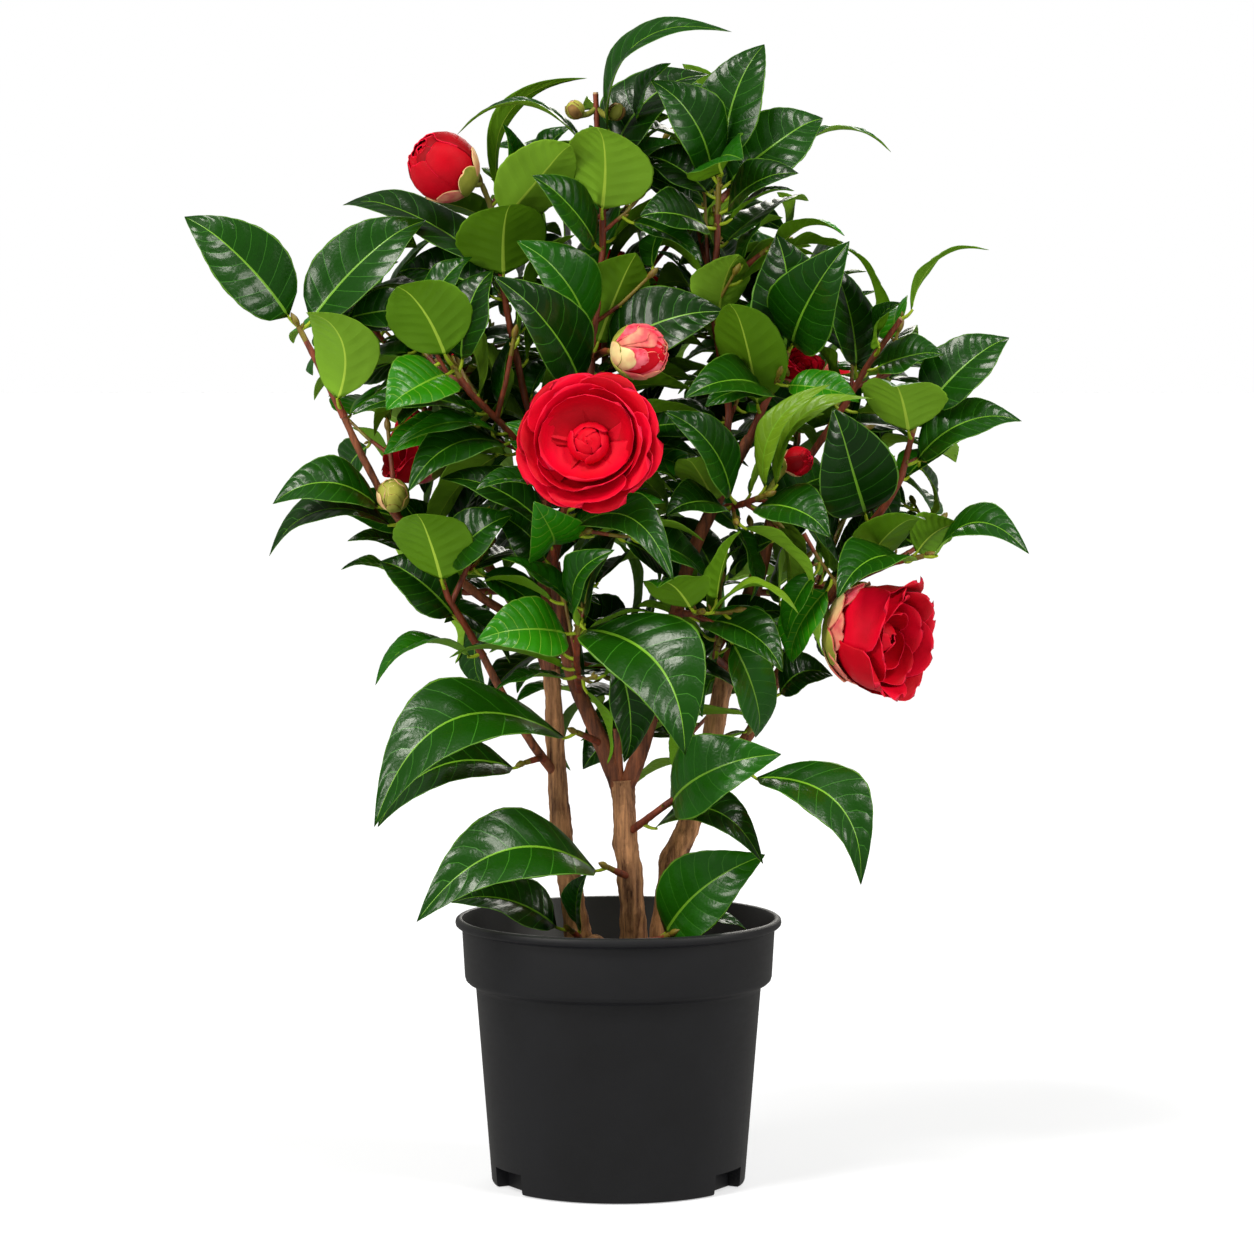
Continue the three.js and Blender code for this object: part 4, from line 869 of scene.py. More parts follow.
# %% Shape one leaf
def shape_leaf(leaf, random):
    """Points of the upper and under grid of one leaf."""
    fold = 0.2 + 0.14 * next(random)
    arch = LEAF_ARCH + 0.07 * (next(random) - 0.5)
    wave = 0.5 + 1.3 * next(random)
    start = next(random)
    bend = (next(random) - 0.5) * 0.08
    twist = (next(random) - 0.5) * 0.5
    droop = 0.03 + 0.05 * next(random)
    s, t = GRID_S, GRID_T
    slim = YOUNG_SLIM if leaf.tone == YOUNG else 1
    half = 0.5 * slim * leaf.width * HALF_WIDTH * (1 + TEETH)
    x = half * t + bend * leaf.length * np.sin(np.pi * s)
    z = (arch * leaf.length * 4 * s * (1 - s) + fold * half * np.abs(t) * (1.12 - 0.34 * t ** 2)
         + 0.75 * QUILT - 0.25 * ON_RIB
         + wave * np.sin(2 * np.pi * (1.7 * s + start) + 2.2 * np.sign(t)) * t ** 2 * np.sin(np.pi * s)
         - droop * leaf.length * np.clip((s - 0.72) / 0.28, 0, 1) ** 2)
    angle = twist * (s - 0.35)
    side = x[..., None] * (np.cos(angle)[..., None] * leaf.across + np.sin(angle)[..., None] * leaf.face)
    upper = (leaf.base + (s * leaf.length)[..., None] * leaf.axis + side + z[..., None] * leaf.face
             + (4 * s * (1 - s))[..., None] * leaf.lift)
    depth = 0.32 + 0.28 * (1 - t ** 2) + 0.5 * ON_RIB * (1 - s)
    under = upper - depth[..., None] * leaf.face
    return np.concatenate([upper.reshape(-1, 3), under[LEAF_INNER]])


def leaf_slots(leaf, random):
    """Finishes by leaf: most are dark, a few are fresh, and some rows of the table say."""
    pick = next(random)
    tone = 0 if pick < 0.22 else 1 if pick < 0.6 else 2 if pick < 0.86 else 3
    if leaf.tone >= 0:
        tone = leaf.tone
    vein = VEIN_YOUNG if tone >= FRESH else VEIN
    upper = np.where(IS_EDGE, EDGE, np.where(IS_RIB, RIB, np.where(IS_VEIN, vein, tone)))
    pale = UNDER_PALE if next(random) < 0.45 else UNDER
    under = np.where(IS_RIB, UNDER_RIB, pale)
    return upper, under


# %% [markdown]
# ## Tubes
# Twigs, leaf stalks and limbs are all tubes with a radius that changes along them. A
# frame is carried along the path without twisting, and each ring is set square to it.

# %% Tube along points
def tube_rings(points, radii, sides, relief):
    points = np.asarray(points, float)
    ways = np.gradient(points, axis=0)
    ways /= np.linalg.norm(ways, axis=1)[:, None]
    across = np.array([1.0, 0.17, 0.05])
    angle = 2 * np.pi * np.arange(sides) / sides
    rings = []
    for j, (centre, way, radius) in enumerate(zip(points, ways, radii)):
        across = unit(across - way * (across @ way))
        other = np.cross(way, across)
        reach = radius * (1 if relief is None else relief[j])
        rings.append(centre + np.outer(np.cos(angle) * reach, across)
                     + np.outer(np.sin(angle) * reach, other))
    return np.array(rings)


def add_tube(heap, points, radii, sides, slots, relief=None, ends=True):
    """Adds a tube whose rings' slots are given one for each span, or one for all."""
    rings = tube_rings(points, radii, sides, relief)
    spans = np.repeat(np.zeros(len(rings) - 1, int) + slots, sides)
    heap.add(rings, grid_faces(len(rings), sides, wrap=True), spans)
    if ends:
        for edge, way in ((rings[0], -1), (rings[-1], 1)):
            heap.add(np.vstack([edge, edge.mean(axis=0)]), fan_faces(sides, way), spans[-1])


# %% Leaves, a group of masses at a time
STALK_FOOT, STALK_TOP = 1.25, 0.8  # radius
STALK_RINGS, STALK_SIDES = 6, 7


def add_leaf(heap, leaf, random):
    points = shape_leaf(leaf, random)
    upper, under = leaf_slots(leaf, random)
    heap.add(points, LEAF_FACES, np.concatenate([upper, under]))
    start = leaf.root + leaf.axis * 0.5
    end = leaf.base + leaf.axis * 1.2 - leaf.face * 0.35
    middle = (start + end) / 2 - leaf.face * 0.9
    stalk = [point_on([start, middle, end], u) for u in np.linspace(0, 1, STALK_RINGS)]
    add_tube(heap, stalk, np.linspace(STALK_FOOT, STALK_TOP, STALK_RINGS), STALK_SIDES, STALK)


GROUPS = {
    "leaves_left": ["far_left", "left", "left_mid", "left_low", "foot_left", "low_left", "stem_left"],
    "leaves_top": ["top_left", "top"],
    "leaves_top_right": ["top_right", "mid_right", "upper_right"],
    "leaves_right": ["right", "right_low", "low_right", "foot_right", "foot_mid", "right_under"],
    "leaves_centre": ["front", "front_low", "centre_right", "centre_low", "stem_right"],
    "leaves_back_left": ["back_left", "back_left_low", "back_centre"],
    "leaves_back_mid": ["back_mid", "back_low"],
    "leaves_back_right": ["back_right", "back_right_low"],
}
by_name = {plant.name: plant for plant in plants}
for name, members in GROUPS.items():
    heap = Heap()
    for member in members:
        plant = by_name["foliage_" + member]
        random = seeded_numbers(plant.seed + 900)
        for leaf in plant.grown:
            add_leaf(heap, leaf, random)
    heap.build(name, LEAF_FINISHES, ["foliage_" + member for member in members])

# %% [markdown]
# ## Bark
# The old stems are pale brown and split lengthwise into long shallow furrows. The
# boughs are smoother and redder, and the youngest shoots are green. The furrows are
# in the mesh, from a small lattice of seeded heights, and the grain is in the finish.

# %% Bark finishes
def bark_finish(name, light, dark, rough, depth):
    finish = Finish(name)
    streak = finish.noise(340, 6, 0.7, (1, 1, 0.07))
    patch = finish.noise(50, 4, 0.6)
    tone = finish.node("ShaderNodeValToRGB", {"stops": [(0.36, dark), (0.6, light)]},
                       {"Fac": streak * 0.75 + patch * 0.25}, out="Color")
    return finish.surface(Base_Color=tone, Roughness=streak * 0.2 + (rough - 0.1),
                          Normal=finish.bump(streak * 1.2 + patch * 0.4, 0.6, depth))


WOOD_FINISHES = [
    bark_finish("bark of old stems", colour(206, 148, 100), colour(78, 42, 24), 0.85, 0.002),
    bark_finish("bark of boughs", colour(152, 84, 48), colour(60, 28, 14), 0.72, 0.0014),
    bark_finish("bark of twigs", colour(142, 62, 32), colour(76, 28, 14), 0.55, 0.0005),
    bark_finish("green shoot", colour(128, 120, 30), colour(104, 64, 20), 0.5, 0.0002),
    bark_finish("cut wood", colour(196, 160, 116), colour(120, 84, 52), 0.85, 0.0004),
]
OLD, BOUGH, TWIG, SHOOT, CUT = range(5)


# %% Relief of the bark
def lattice(random, rows, columns):
    return np.array([[next(random) for _ in range(columns)] for _ in range(rows)])


def smooth_lattice(grid, u, v):
    """Height between the lattice's corners; it wraps round across the limb."""
    u, v = np.broadcast_arrays(u, v)
    rows, columns = grid.shape
    i, j = np.floor(u).astype(int), np.floor(v).astype(int)
    f, g = u - i, v - j
    f, g = f * f * (3 - 2 * f), g * g * (3 - 2 * g)
    i0, i1, j0, j1 = i % rows, (i + 1) % rows, j % columns, (j + 1) % columns
    return ((grid[i0, j0] * (1 - f) + grid[i1, j0] * f) * (1 - g)
            + (grid[i0, j1] * (1 - f) + grid[i1, j1] * f) * g)


def bark_relief(random, length, rings, sides, furrow, knobs):
    """Shares of the radius: broad swellings, ribs, a fine grain and a few knobs."""
    along = np.linspace(0, length, rings)[:, None]
    turn = np.arange(sides)[None, :] / sides
    coarse = smooth_lattice(lattice(random, 24, 7), along / 16, turn * 7)
    ribs = smooth_lattice(lattice(random, 48, 14), along / 7, turn * 14 + 0.25 * coarse)
    fine = smooth_lattice(lattice(random, 64, 28), along / 2.2, turn * 28)
    relief = 1 + furrow * (1.1 * (coarse - 0.5) + 1.5 * (ribs - 0.5) + 0.7 * (fine - 0.5))
    for _ in range(knobs):
        spot, side, size = next(random) * length, next(random), 3 + 4 * next(random)
        gap = (along - spot) ** 2 / size ** 2 + (((turn - side + 0.5) % 1 - 0.5) * 5) ** 2
        relief = relief + furrow * 1.3 * np.exp(-gap * 1.6)
    return relief


# %% Limbs
OLD_WOOD_TOP = 300  # the stems have the bark of old wood up to here
STUB_LENGTH, STUB_RADIUS, STUB_RINGS, STUB_SIDES = 42, 2.5, 26, 18
limb_heap = Heap()
for k, (name, limb) in enumerate(LIMBS.items()):
    is_stem = name.startswith("stem")
    length = length_of(limb["path"])
    rings = max(12, round(length / 1.5))
    sides, furrow = (32, 0.13) if is_stem else (22, 0.08)
    t = np.linspace(0, 1, rings)
    points = [point_on(limb["path"], u) for u in t]
    radii = [limb_radius(limb, u) for u in t]
    relief = bark_relief(seeded_numbers(700 + k), length, rings, sides, furrow, round(length / 22))
    tone = np.where(np.array(points)[1:, 2] < OLD_WOOD_TOP, OLD, BOUGH) if is_stem else BOUGH
    add_tube(limb_heap, points, radii, sides, tone, relief)
stub_points = [point_on(PRUNED_STUB, u) for u in np.linspace(0, 1, STUB_RINGS)]
add_tube(limb_heap, stub_points, np.full(STUB_RINGS, STUB_RADIUS), STUB_SIDES, BOUGH,
         bark_relief(seeded_numbers(760), STUB_LENGTH, STUB_RINGS, STUB_SIDES, 0.09, 2))


# %% Knob at the foot of the left stem
KNOB_PLACE, KNOB_RADIUS = np.array([-14, 0, 137.0]), 7.4
KNOB_RINGS, KNOB_SIDES = 12, 20


def add_knob(heap, centre, radius, slot):
    turn = np.linspace(0, 2 * np.pi, KNOB_SIDES, endpoint=False)
    rise = np.linspace(-1.45, 1.45, KNOB_RINGS)[:, None]
    bumps = 1 + 0.16 * (smooth_lattice(lattice(seeded_numbers(771), 12, 8), rise * 3 + 5,
                                       turn / (2 * np.pi) * 8) - 0.5)
    ring = radius * bumps * np.cos(rise)
    points = np.stack([ring * np.cos(turn), ring * np.sin(turn),
                       radius * bumps * np.sin(rise)], axis=-1) + centre
    heap.add(points, grid_faces(KNOB_RINGS, KNOB_SIDES, wrap=True), slot)


add_knob(limb_heap, KNOB_PLACE, KNOB_RADIUS, OLD)
limb_heap.build("bark", WOOD_FINISHES, list(LIMBS))

# %% [markdown]
# ## Twigs and resting buds
# A twig bends a little at the nodes of its path and swells at every leaf's step along
# it. It ends in a pointed bud, and a small one sits in the angle of most leaves.

# %% Twigs
FOOT_REACH = 4  # a leaf whose foot is this near stands on the twig
TWIG_SIDES, BUD_SIDES = 9, 6


def last_foot(path, spots):
    """How far along a twig its last leaf or bloom stands, or 0 for a bare twig."""
    places = np.linspace(0, 1, 25)
    held = [u for u in places
            if min(math.dist(twig_point(path, u), spot) for spot in spots) < FOOT_REACH]
    return min(1, max(held) + 0.08) if held else 0


def add_twig(heap, path, thick, thin, green_from, until):
    """A twig drawn up to the share until of its path; gives its end and its way there."""
    length = length_of(path)
    rings = max(6, round(length / 2.5))
    t = np.linspace(0, until, rings)
    points = np.array([twig_point(path, u) for u in t])
    eased = points.copy()
    eased[1:-1] = (points[:-2] + 2 * points[1:-1] + points[2:]) / 4
    swell = 1 + 0.1 * np.maximum(np.cos(2 * np.pi * t * length / LEAF_STEP), 0) ** 4
    radii = (thick + (thin - thick) * t) * swell
    slots = np.where(t[1:] > green_from * until, SHOOT, TWIG)
    add_tube(heap, eased, radii, TWIG_SIDES, slots)
    return eased[-1], unit(eased[-1] - eased[-2])


def add_bud(heap, foot, way, length, width, slot, bands=6):
    """A pointed bud, as it rests at a twig's end or a leaf's foot."""
    rise = np.linspace(0, 1, bands)
    body = width / 2 * np.sin(np.pi * np.clip(rise * 0.86 + 0.14, 0, 1)) ** 0.75
    add_tube(heap, foot + np.outer(rise * length, way), np.maximum(body, 0.15), BUD_SIDES, slot,
             ends=False)


# %% Wood of each mass
# Radius at the foot and at the tip, and the share of the twig from which it is green.
MAIN_TWIG, SIDE_TWIG, FINE_TWIG = (2.3, 1.6, 0.86), (1.7, 1.2, 0.86), (1.25, 0.85, 0.45)
WHOLLY_BROWN = 2
LIMB_POINTS = np.array([point_on(limb["path"], u) for limb in LIMBS.values()
                        for u in np.linspace(0, 1, 80)])
PRUNED = ("foliage_top", "foliage_upper_right")  # their first twig ends in a flat cut
SUNK = 5  # the foot of a mass's first twig moves this far at most to lie inside its limb
BUD_SHARE = 0.6  # of the leaves have a small bud at their foot


def sunk_foot(foot):
    inside = LIMB_POINTS[np.argmin(np.linalg.norm(LIMB_POINTS - foot, axis=1))]
    return foot + (inside - foot) * min(1, SUNK / max(math.dist(inside, foot), 0.1))


def add_wood(heap, plant, random):
    """The mass's twigs and resting buds; gives the number of bare twigs left out."""
    spots = np.array([leaf.root for leaf in plant.grown] + [bloom[2:5] for bloom in plant.blooms])
    bare = 0
    for k, path in enumerate(plant.twigs + plant.fine):
        until = last_foot(path, spots) if k >= plant.main else 1
        if until == 0:
            bare += 1
            continue
        size = MAIN_TWIG if k < plant.main else SIDE_TWIG if k < len(plant.twigs) else FINE_TWIG
        thick, thin, green_from = size
        foot = np.array(path[0], float)
        if k == 0:
            foot = sunk_foot(foot)
        pruned = k == 0 and plant.name in PRUNED
        end, way = add_twig(heap, [foot.tolist()] + path[1:], thick, thin,
                            WHOLLY_BROWN if pruned else green_from, until)
        if pruned:
            add_tube(heap, [end, end + way * 1.2], [thin, thin * 0.9], TWIG_SIDES, CUT)
        else:
            add_bud(heap, end, way, 7 + 3 * next(random), 3.4 + next(random), SHOOT, 9)
    for leaf in plant.grown:
        if next(random) < BUD_SHARE:
            add_bud(heap, leaf.root + leaf.axis * 1.4 + leaf.face * 0.6,
                    unit(leaf.axis + leaf.face * 1.1), 3.2 + 1.4 * next(random), 1.8, SHOOT)
    return bare


WOOD_GROUPS = {"twigs_front": [p for p in plants if "back" not in p.name],
               "twigs_back": [p for p in plants if "back" in p.name]}
for name, members in WOOD_GROUPS.items():
    heap = Heap()
    bare = sum(add_wood(heap, plant, seeded_numbers(plant.seed + 300)) for plant in members)
    heap.build(name, WOOD_FINISHES)
    print(bare, "side twigs without leaves are left out")

# %% [markdown]
# ## Blooms
# The flower is a full double camellia. Broad round petals overlap in whorls: the outer
# ones lie open, the next stand up as a bowl, and the heart is a small closed knob.
# A petal is a patch whose middle line runs up a given curve from the flower's base,
# and whose sides bend round the flower's axis. Buds use the same patch on an egg.

# %% Bloom finishes
def petal_finish(name, tone, deep, patch=38, sheen=0.1):
    """deep is the colour between the patches, whose number in a metre is patch."""
    finish = Finish(name)
    fold = finish.noise(patch, 3, 0.5)
    share = finish.node("ShaderNodeValToRGB", {"stops": [(0.36, (0, 0, 0, 1)), (0.64, (1, 1, 1, 1))]},
                        {"Fac": fold}, out="Color")
    line = finish.noise(520, 3, 0.6)
    return finish.surface(
        Base_Color=finish.blend(share, deep, tone), Roughness=line * 0.16 + 0.45,
        Normal=finish.bump(line * 0.5 + finish.noise(120, 2, 0.5), 0.35, 0.0005),
        Specular_IOR_Level=sheen)


BLOOM_FINISHES = [
    # The red in painted shade, for petals that stand in the shade of others.
    petal_finish("petal red in painted shade", colour(158, 0, 16), colour(128, 0, 10)),
    petal_finish("petal red", colour(196, 0, 26), colour(168, 0, 18)),
    # The same red in painted light.
    petal_finish("petal red in painted light", colour(220, 0, 40), colour(194, 0, 26)),
    # A lighter red along the petals' rims: a painted highlight.
    petal_finish("painted highlight on petal rims", colour(228, 26, 62), colour(208, 8, 40)),
    petal_finish("petal pink", colour(232, 108, 120), colour(206, 30, 62), patch=190, sheen=0.2),
    petal_finish("bud scale cream", colour(230, 208, 146), colour(216, 150, 112), patch=90, sheen=0.2),
    petal_finish("bud scale green", colour(162, 160, 66), colour(120, 128, 42), patch=70, sheen=0.2),
    petal_finish("bud scale blush", colour(222, 146, 116), colour(206, 78, 84), patch=110, sheen=0.2),
    petal_finish("bud scale brown", colour(150, 116, 58), colour(104, 74, 38), patch=120, sheen=0.2),
]
RED_PAINTED_SHADE, RED, RED_PAINTED_LIGHT, PAINTED_HIGHLIGHT_EDGE, PINK, CREAM, GREEN, BLUSH, BROWN = range(9)

# %% One petal
PETAL_U = np.array([0, 0.14, 0.3, 0.45, 0.58, 0.7, 0.8, 0.88, 0.94, 0.98, 1.0])
PETAL_V = np.array([-1, -0.96, -0.74, -0.44, -0.15, 0.15, 0.44, 0.74, 0.96, 1])
PETAL_WIDEST = 0.62  # where along the petal it is widest
from_widest = PETAL_U - PETAL_WIDEST
from_widest /= np.where(from_widest < 0, 0.64, 0.383)
PETAL_WIDTH = np.sqrt(np.clip(1 - from_widest ** 2, 0.0004, 1))
PETAL_INNER, PETAL_FACES, petal_row, petal_column = sewn_grids(len(PETAL_U), len(PETAL_V))
PETAL_SIDE = (petal_column == 0) | (petal_column == len(PETAL_V) - 2)
PETAL_RIM = (petal_row == len(PETAL_U) - 2) | (PETAL_SIDE & (petal_row > 4))
print("a petal has", len(PETAL_FACES), "triangles")


def add_petal(heap, bloom, azimuth, middle, breadth, wrap, curl, sector, slot, rim, random,
              thick=0.5, lap=0.045):
    """middle is the petal's middle line as [radius, height] in shares of the bloom's
    radius; wrap is how far its sides bend round the axis, and curl how they roll out.
    Its half width stays inside sector, and one side laps over its neighbour by lap."""
    line = np.array([point_on([(r, h, 0) for r, h in middle], u)[:2] for u in PETAL_U])
    slope = np.gradient(line, axis=0)
    slope /= np.linalg.norm(slope, axis=1)[:, None]
    lean = (azimuth + (next(random) - 0.5) * 18) * DEGREE
    out = bloom.across * math.cos(lean) + bloom.other * math.sin(lean)
    side = bloom.other * math.cos(lean) - bloom.across * math.sin(lean)
    scale = bloom.radius * (1 + 0.03 * (next(random) - 0.5))
    half = bloom.radius * np.minimum(breadth * PETAL_WIDTH, sector * line[:, 0] + 0.04)[:, None]
    round_radius = np.maximum(line[:, 0], 0.16)[:, None] * bloom.radius / wrap
    bow = np.clip(half / round_radius, 0, 2.7)
    v = PETAL_V[None, :]
    shift = half * np.sin(v * bow) / np.maximum(bow, 1e-6)
    lift = half * (1 - np.cos(v * bow)) / np.maximum(bow, 1e-6)
    u = PETAL_U[:, None]
    ruffle = bloom.radius * (0.018 * np.sin(v * 3.4 + next(random) * 6) * u ** 3
                             + lap * v * np.clip(line[:, :1] / 0.4, 0, 1))
    roll = -curl * bloom.radius * (np.abs(v) ** 3 + 0.5) * np.clip((u - 0.6) / 0.4, 0, 1) ** 2
    notch = 0.02 * np.exp(-(v / 0.4) ** 2) * np.clip((u - 0.8) / 0.2, 0, 1)
    inward = np.stack([-slope[:, 1], slope[:, 0]], axis=1)
    # A petal that wraps closely lies on one bowl with its neighbours, a loose one is cupped.
    close = min(max((wrap - 0.5) / 0.35, 0), 1)
    bend = inward * (1 - close) + np.array([-close, 0])
    plane = (line[:, None, :] * scale + inward[:, None, :] * (roll + ruffle)[..., None]
             + bend[:, None, :] * lift[..., None]
             - slope[:, None, :] * (notch * bloom.radius)[..., None])

    def place(flat):
        return (bloom.centre + flat[..., 0:1] * out + flat[..., 1:2] * bloom.facing
                + shift[..., None] * side)

    upper = place(plane)
    back = place(plane - inward[:, None, :] * thick)
    points = np.concatenate([upper.reshape(-1, 3), back[PETAL_INNER]])
    heap.add(points, PETAL_FACES, np.tile(np.where(PETAL_RIM, rim, slot), 2))


# %% Whorls of the open flower
# Each whorl: how many petals, middle line, breadth, wrap, curl and slots to deal out.
# The outer whorls deal out the red in painted light between plain red petals, and the heart is all in painted
# light.
OPEN_WHORLS = [
    (5, [(0.08, -0.44), (0.42, -0.4), (0.8, -0.28), (1.02, -0.16)], 0.68, 0.4, 0.07, [RED, RED_PAINTED_LIGHT, RED]),
    (5, [(0.08, -0.42), (0.44, -0.36), (0.76, -0.2), (0.93, -0.04)], 0.62, 0.5, 0.05, [RED_PAINTED_LIGHT, RED]),
    (3, [(0.06, -0.4), (0.4, -0.36), (0.68, -0.18), (0.78, 0.05)], 0.95, 0.85, 0.02, [RED, RED_PAINTED_LIGHT]),
    (2, [(0.04, -0.38), (0.34, -0.35), (0.58, -0.2), (0.66, 0.04)], 1.25, 0.9, 0.0, [RED, RED_PAINTED_LIGHT]),
    (3, [(0.02, -0.36), (0.2, -0.33), (0.3, -0.26), (0.2, -0.17)], 0.44, 0.9, 0, [RED_PAINTED_LIGHT]),
    (3, [(0.02, -0.33), (0.15, -0.28), (0.19, -0.2), (0.04, -0.14)], 0.36, 0.9, 0, [RED_PAINTED_LIGHT]),
    (2, [(0.04, -0.29), (0.09, -0.22), (0.05, -0.14), (-0.03, -0.12)], 0.24, 0.5, 0, [RED_PAINTED_LIGHT]),
]

# Whorls of the deep flower, which is still a cup.
# These whorls deal out the red in painted light among plain red petals.
CUP_WHORLS = [
    (5, [(0.1, -0.8), (0.62, -0.64), (0.94, -0.2), (0.98, 0.28), (1.06, 0.56)],
     0.68, 0.8, 0.12, [RED, RED_PAINTED_LIGHT]),
    (5, [(0.1, -0.76), (0.56, -0.58), (0.84, -0.16), (0.88, 0.26), (0.92, 0.62)],
     0.66, 0.8, 0.1, [RED_PAINTED_LIGHT, RED]),
    (4, [(0.08, -0.7), (0.46, -0.54), (0.7, -0.16), (0.72, 0.2), (0.74, 0.46)],
     0.66, 0.85, 0.05, [RED_PAINTED_LIGHT, RED]),
    # This inner whorl of the cup mixes in the red in painted shade.
    (3, [(0.06, -0.66), (0.34, -0.5), (0.5, -0.14), (0.52, 0.14), (0.5, 0.3)], 0.58, 0.9, 0.02, [RED, RED_PAINTED_SHADE]),
    (3, [(0.04, -0.6), (0.16, -0.4), (0.26, -0.1), (0.24, 0.1), (0.08, 0.24)], 0.36, 0.8, 0, [RED, RED_PAINTED_LIGHT]),
    (2, [(0.04, -0.4), (0.12, -0.1), (0.12, 0.06), (-0.03, 0.2)], 0.26, 0.6, 0, [RED_PAINTED_LIGHT]),
]
# Scales that hold a flower: how many, middle line, breadth and slots to deal out.
OPEN_SCALES = [
    (8, [(0.05, -0.58), (0.24, -0.56), (0.42, -0.48), (0.52, -0.4)], 0.24, [GREEN, GREEN, BLUSH]),
]
CUP_SCALES = [
    (6, [(0.05, -0.98), (0.44, -0.9), (0.78, -0.66), (0.95, -0.32)], 0.46, [BLUSH, PINK, BLUSH]),
    (6, [(0.05, -1.02), (0.46, -0.95), (0.78, -0.72), (0.93, -0.46)], 0.42, [GREEN, CREAM]),
    (5, [(0.05, -1.06), (0.4, -1.01), (0.68, -0.82), (0.8, -0.62)], 0.42, [GREEN]),
]


def add_flower(heap, bloom, whorls, scales, random):
    for k, (count, middle, breadth, wrap, curl, slots) in enumerate(whorls):
        for i in range(count):
            # Each flower petal's rim takes the painted highlight.
            add_petal(heap, bloom, i * 360 / count + k * 41 - 50, middle, breadth, wrap, curl,
                      1.45 * math.pi / count, slots[i % len(slots)], PAINTED_HIGHLIGHT_EDGE, random)
    for k, (count, middle, breadth, slots) in enumerate(scales):
        for i in range(count):
            add_petal(heap, bloom, i * 360 / count + k * 32 + 60, middle, breadth, 0.9, 0, 0.9,
                      slots[i % len(slots)], BLUSH, random, 0.8, 0.02)


# %% Buds
def egg_line(low, high, size):
    """Middle line on an egg, between two angles from its waist."""
    return [(size * math.cos(a * DEGREE), size * 1.06 * math.sin(a * DEGREE))
            for a in np.linspace(low, high, 5)]


# Kind: rings of petals or scales, as count, low and high angle, size in shares of the
# bud's radius, breadth, slots to deal out and slot of the rim.
BUDS = {
    # The opening bud's petals mix in the red in painted shade.
    "bud_opening": [
        # Its rims take the painted highlight.
        (5, -80, 56, 0.95, 0.62, [RED, RED_PAINTED_SHADE], PAINTED_HIGHLIGHT_EDGE), (5, -80, 72, 0.9, 0.54, [RED_PAINTED_SHADE, RED], PAINTED_HIGHLIGHT_EDGE),
        (4, -80, 84, 0.84, 0.5, [RED, RED_PAINTED_SHADE], PAINTED_HIGHLIGHT_EDGE), (3, -70, 90, 0.76, 0.5, [RED_PAINTED_SHADE, RED], RED),
        (7, -86, -10, 0.99, 0.46, [GREEN, CREAM, BLUSH], CREAM)],
    # The tight bud's red petals mix in the red in painted light.
    "bud_tight": [
        (4, -80, 90, 0.8, 0.6, [RED, RED_PAINTED_LIGHT], PINK), (5, -80, 80, 0.84, 0.44, [RED, PINK, RED_PAINTED_LIGHT], BLUSH),
        (6, -80, 62, 0.88, 0.42, [PINK, BLUSH, RED], BLUSH), (6, -84, 40, 0.92, 0.44, [BLUSH, PINK], BLUSH),
        (6, -84, 14, 0.95, 0.46, [CREAM, BLUSH, PINK], BLUSH),
        (6, -86, -14, 0.99, 0.48, [GREEN, GREEN, CREAM], GREEN)],
    "bud_green": [
        (3, -80, 90, 0.84, 0.66, [GREEN], CREAM), (4, -84, 64, 0.9, 0.56, [GREEN], CREAM),
        (5, -86, 34, 0.95, 0.5, [GREEN, GREEN, CREAM], BROWN), (5, -86, 0, 0.99, 0.46, [GREEN], BROWN)],
    "bud_small": [
        (3, -80, 90, 0.84, 0.66, [GREEN, CREAM], BROWN), (4, -84, 56, 0.93, 0.6, [GREEN, BROWN], BROWN)],
    "bud_pink": [
        (3, -80, 90, 0.84, 0.66, [PINK, RED], PINK), (4, -84, 60, 0.92, 0.6, [GREEN, CREAM], CREAM),
        (4, -86, 10, 0.98, 0.5, [GREEN], BROWN)],
}


def add_bud_bloom(heap, bloom, kind, random):
    for k, (count, low, high, size, breadth, slots, rim) in enumerate(BUDS[kind]):
        for i in range(count):
            add_petal(heap, bloom, i * 360 / count + k * 50, egg_line(low, high, size), breadth, 1.0,
                      0, 1.2, slots[i % len(slots)], rim, random, 0.6, 0.012)


# %% Set the blooms
bloom_heap = Heap()
for plant in plants:
    random = seeded_numbers(plant.seed + 640)
    for kind, twig, x, y, z, diameter, *facing in plant.blooms:
        facing = unit(np.array(facing, float))
        across = unit(np.cross([0.2, 0.1, 1.0], facing))
        bloom = SimpleNamespace(centre=np.array([x, y, z], float), facing=facing, across=across,
                                other=np.cross(facing, across), radius=diameter / 2)
        if kind in ("flower_cup", "flower_side"):
            add_flower(bloom_heap, bloom, CUP_WHORLS, CUP_SCALES, random)
        elif kind == "flower_open":
            add_flower(bloom_heap, bloom, OPEN_WHORLS, OPEN_SCALES, random)
        else:
            add_bud_bloom(bloom_heap, bloom, kind, random)
        # A short green stalk joins the bloom to the nearest spot on its twig.
        spots = [twig_point(plant.twigs[twig], u) for u in np.linspace(0, 1, 21)]
        foot = min(spots, key=lambda p: math.dist(p, bloom.centre))
        end = bloom.centre - facing * diameter * 0.4
        middle = (foot + end) / 2 - facing * 1.5
        add_tube(bloom_heap, [point_on([foot, middle, end], u) for u in np.linspace(0, 1, 8)],
                 np.linspace(1.5, 1.9, 8), TWIG_SIDES, GREEN)
bloom_heap.build("blossom", BLOOM_FINISHES)

# %% [markdown]
# ## Pot
# A moulded nursery pot: a slim cone with a wide collar, a rolled lip and three notches
# in the foot for water. The wall is an outline turned about the axis, so it is round
# from any side. A notch is a box added inside the foot and a smaller one cut out of it
# from the outside, both with booleans, so that the pot stays closed.

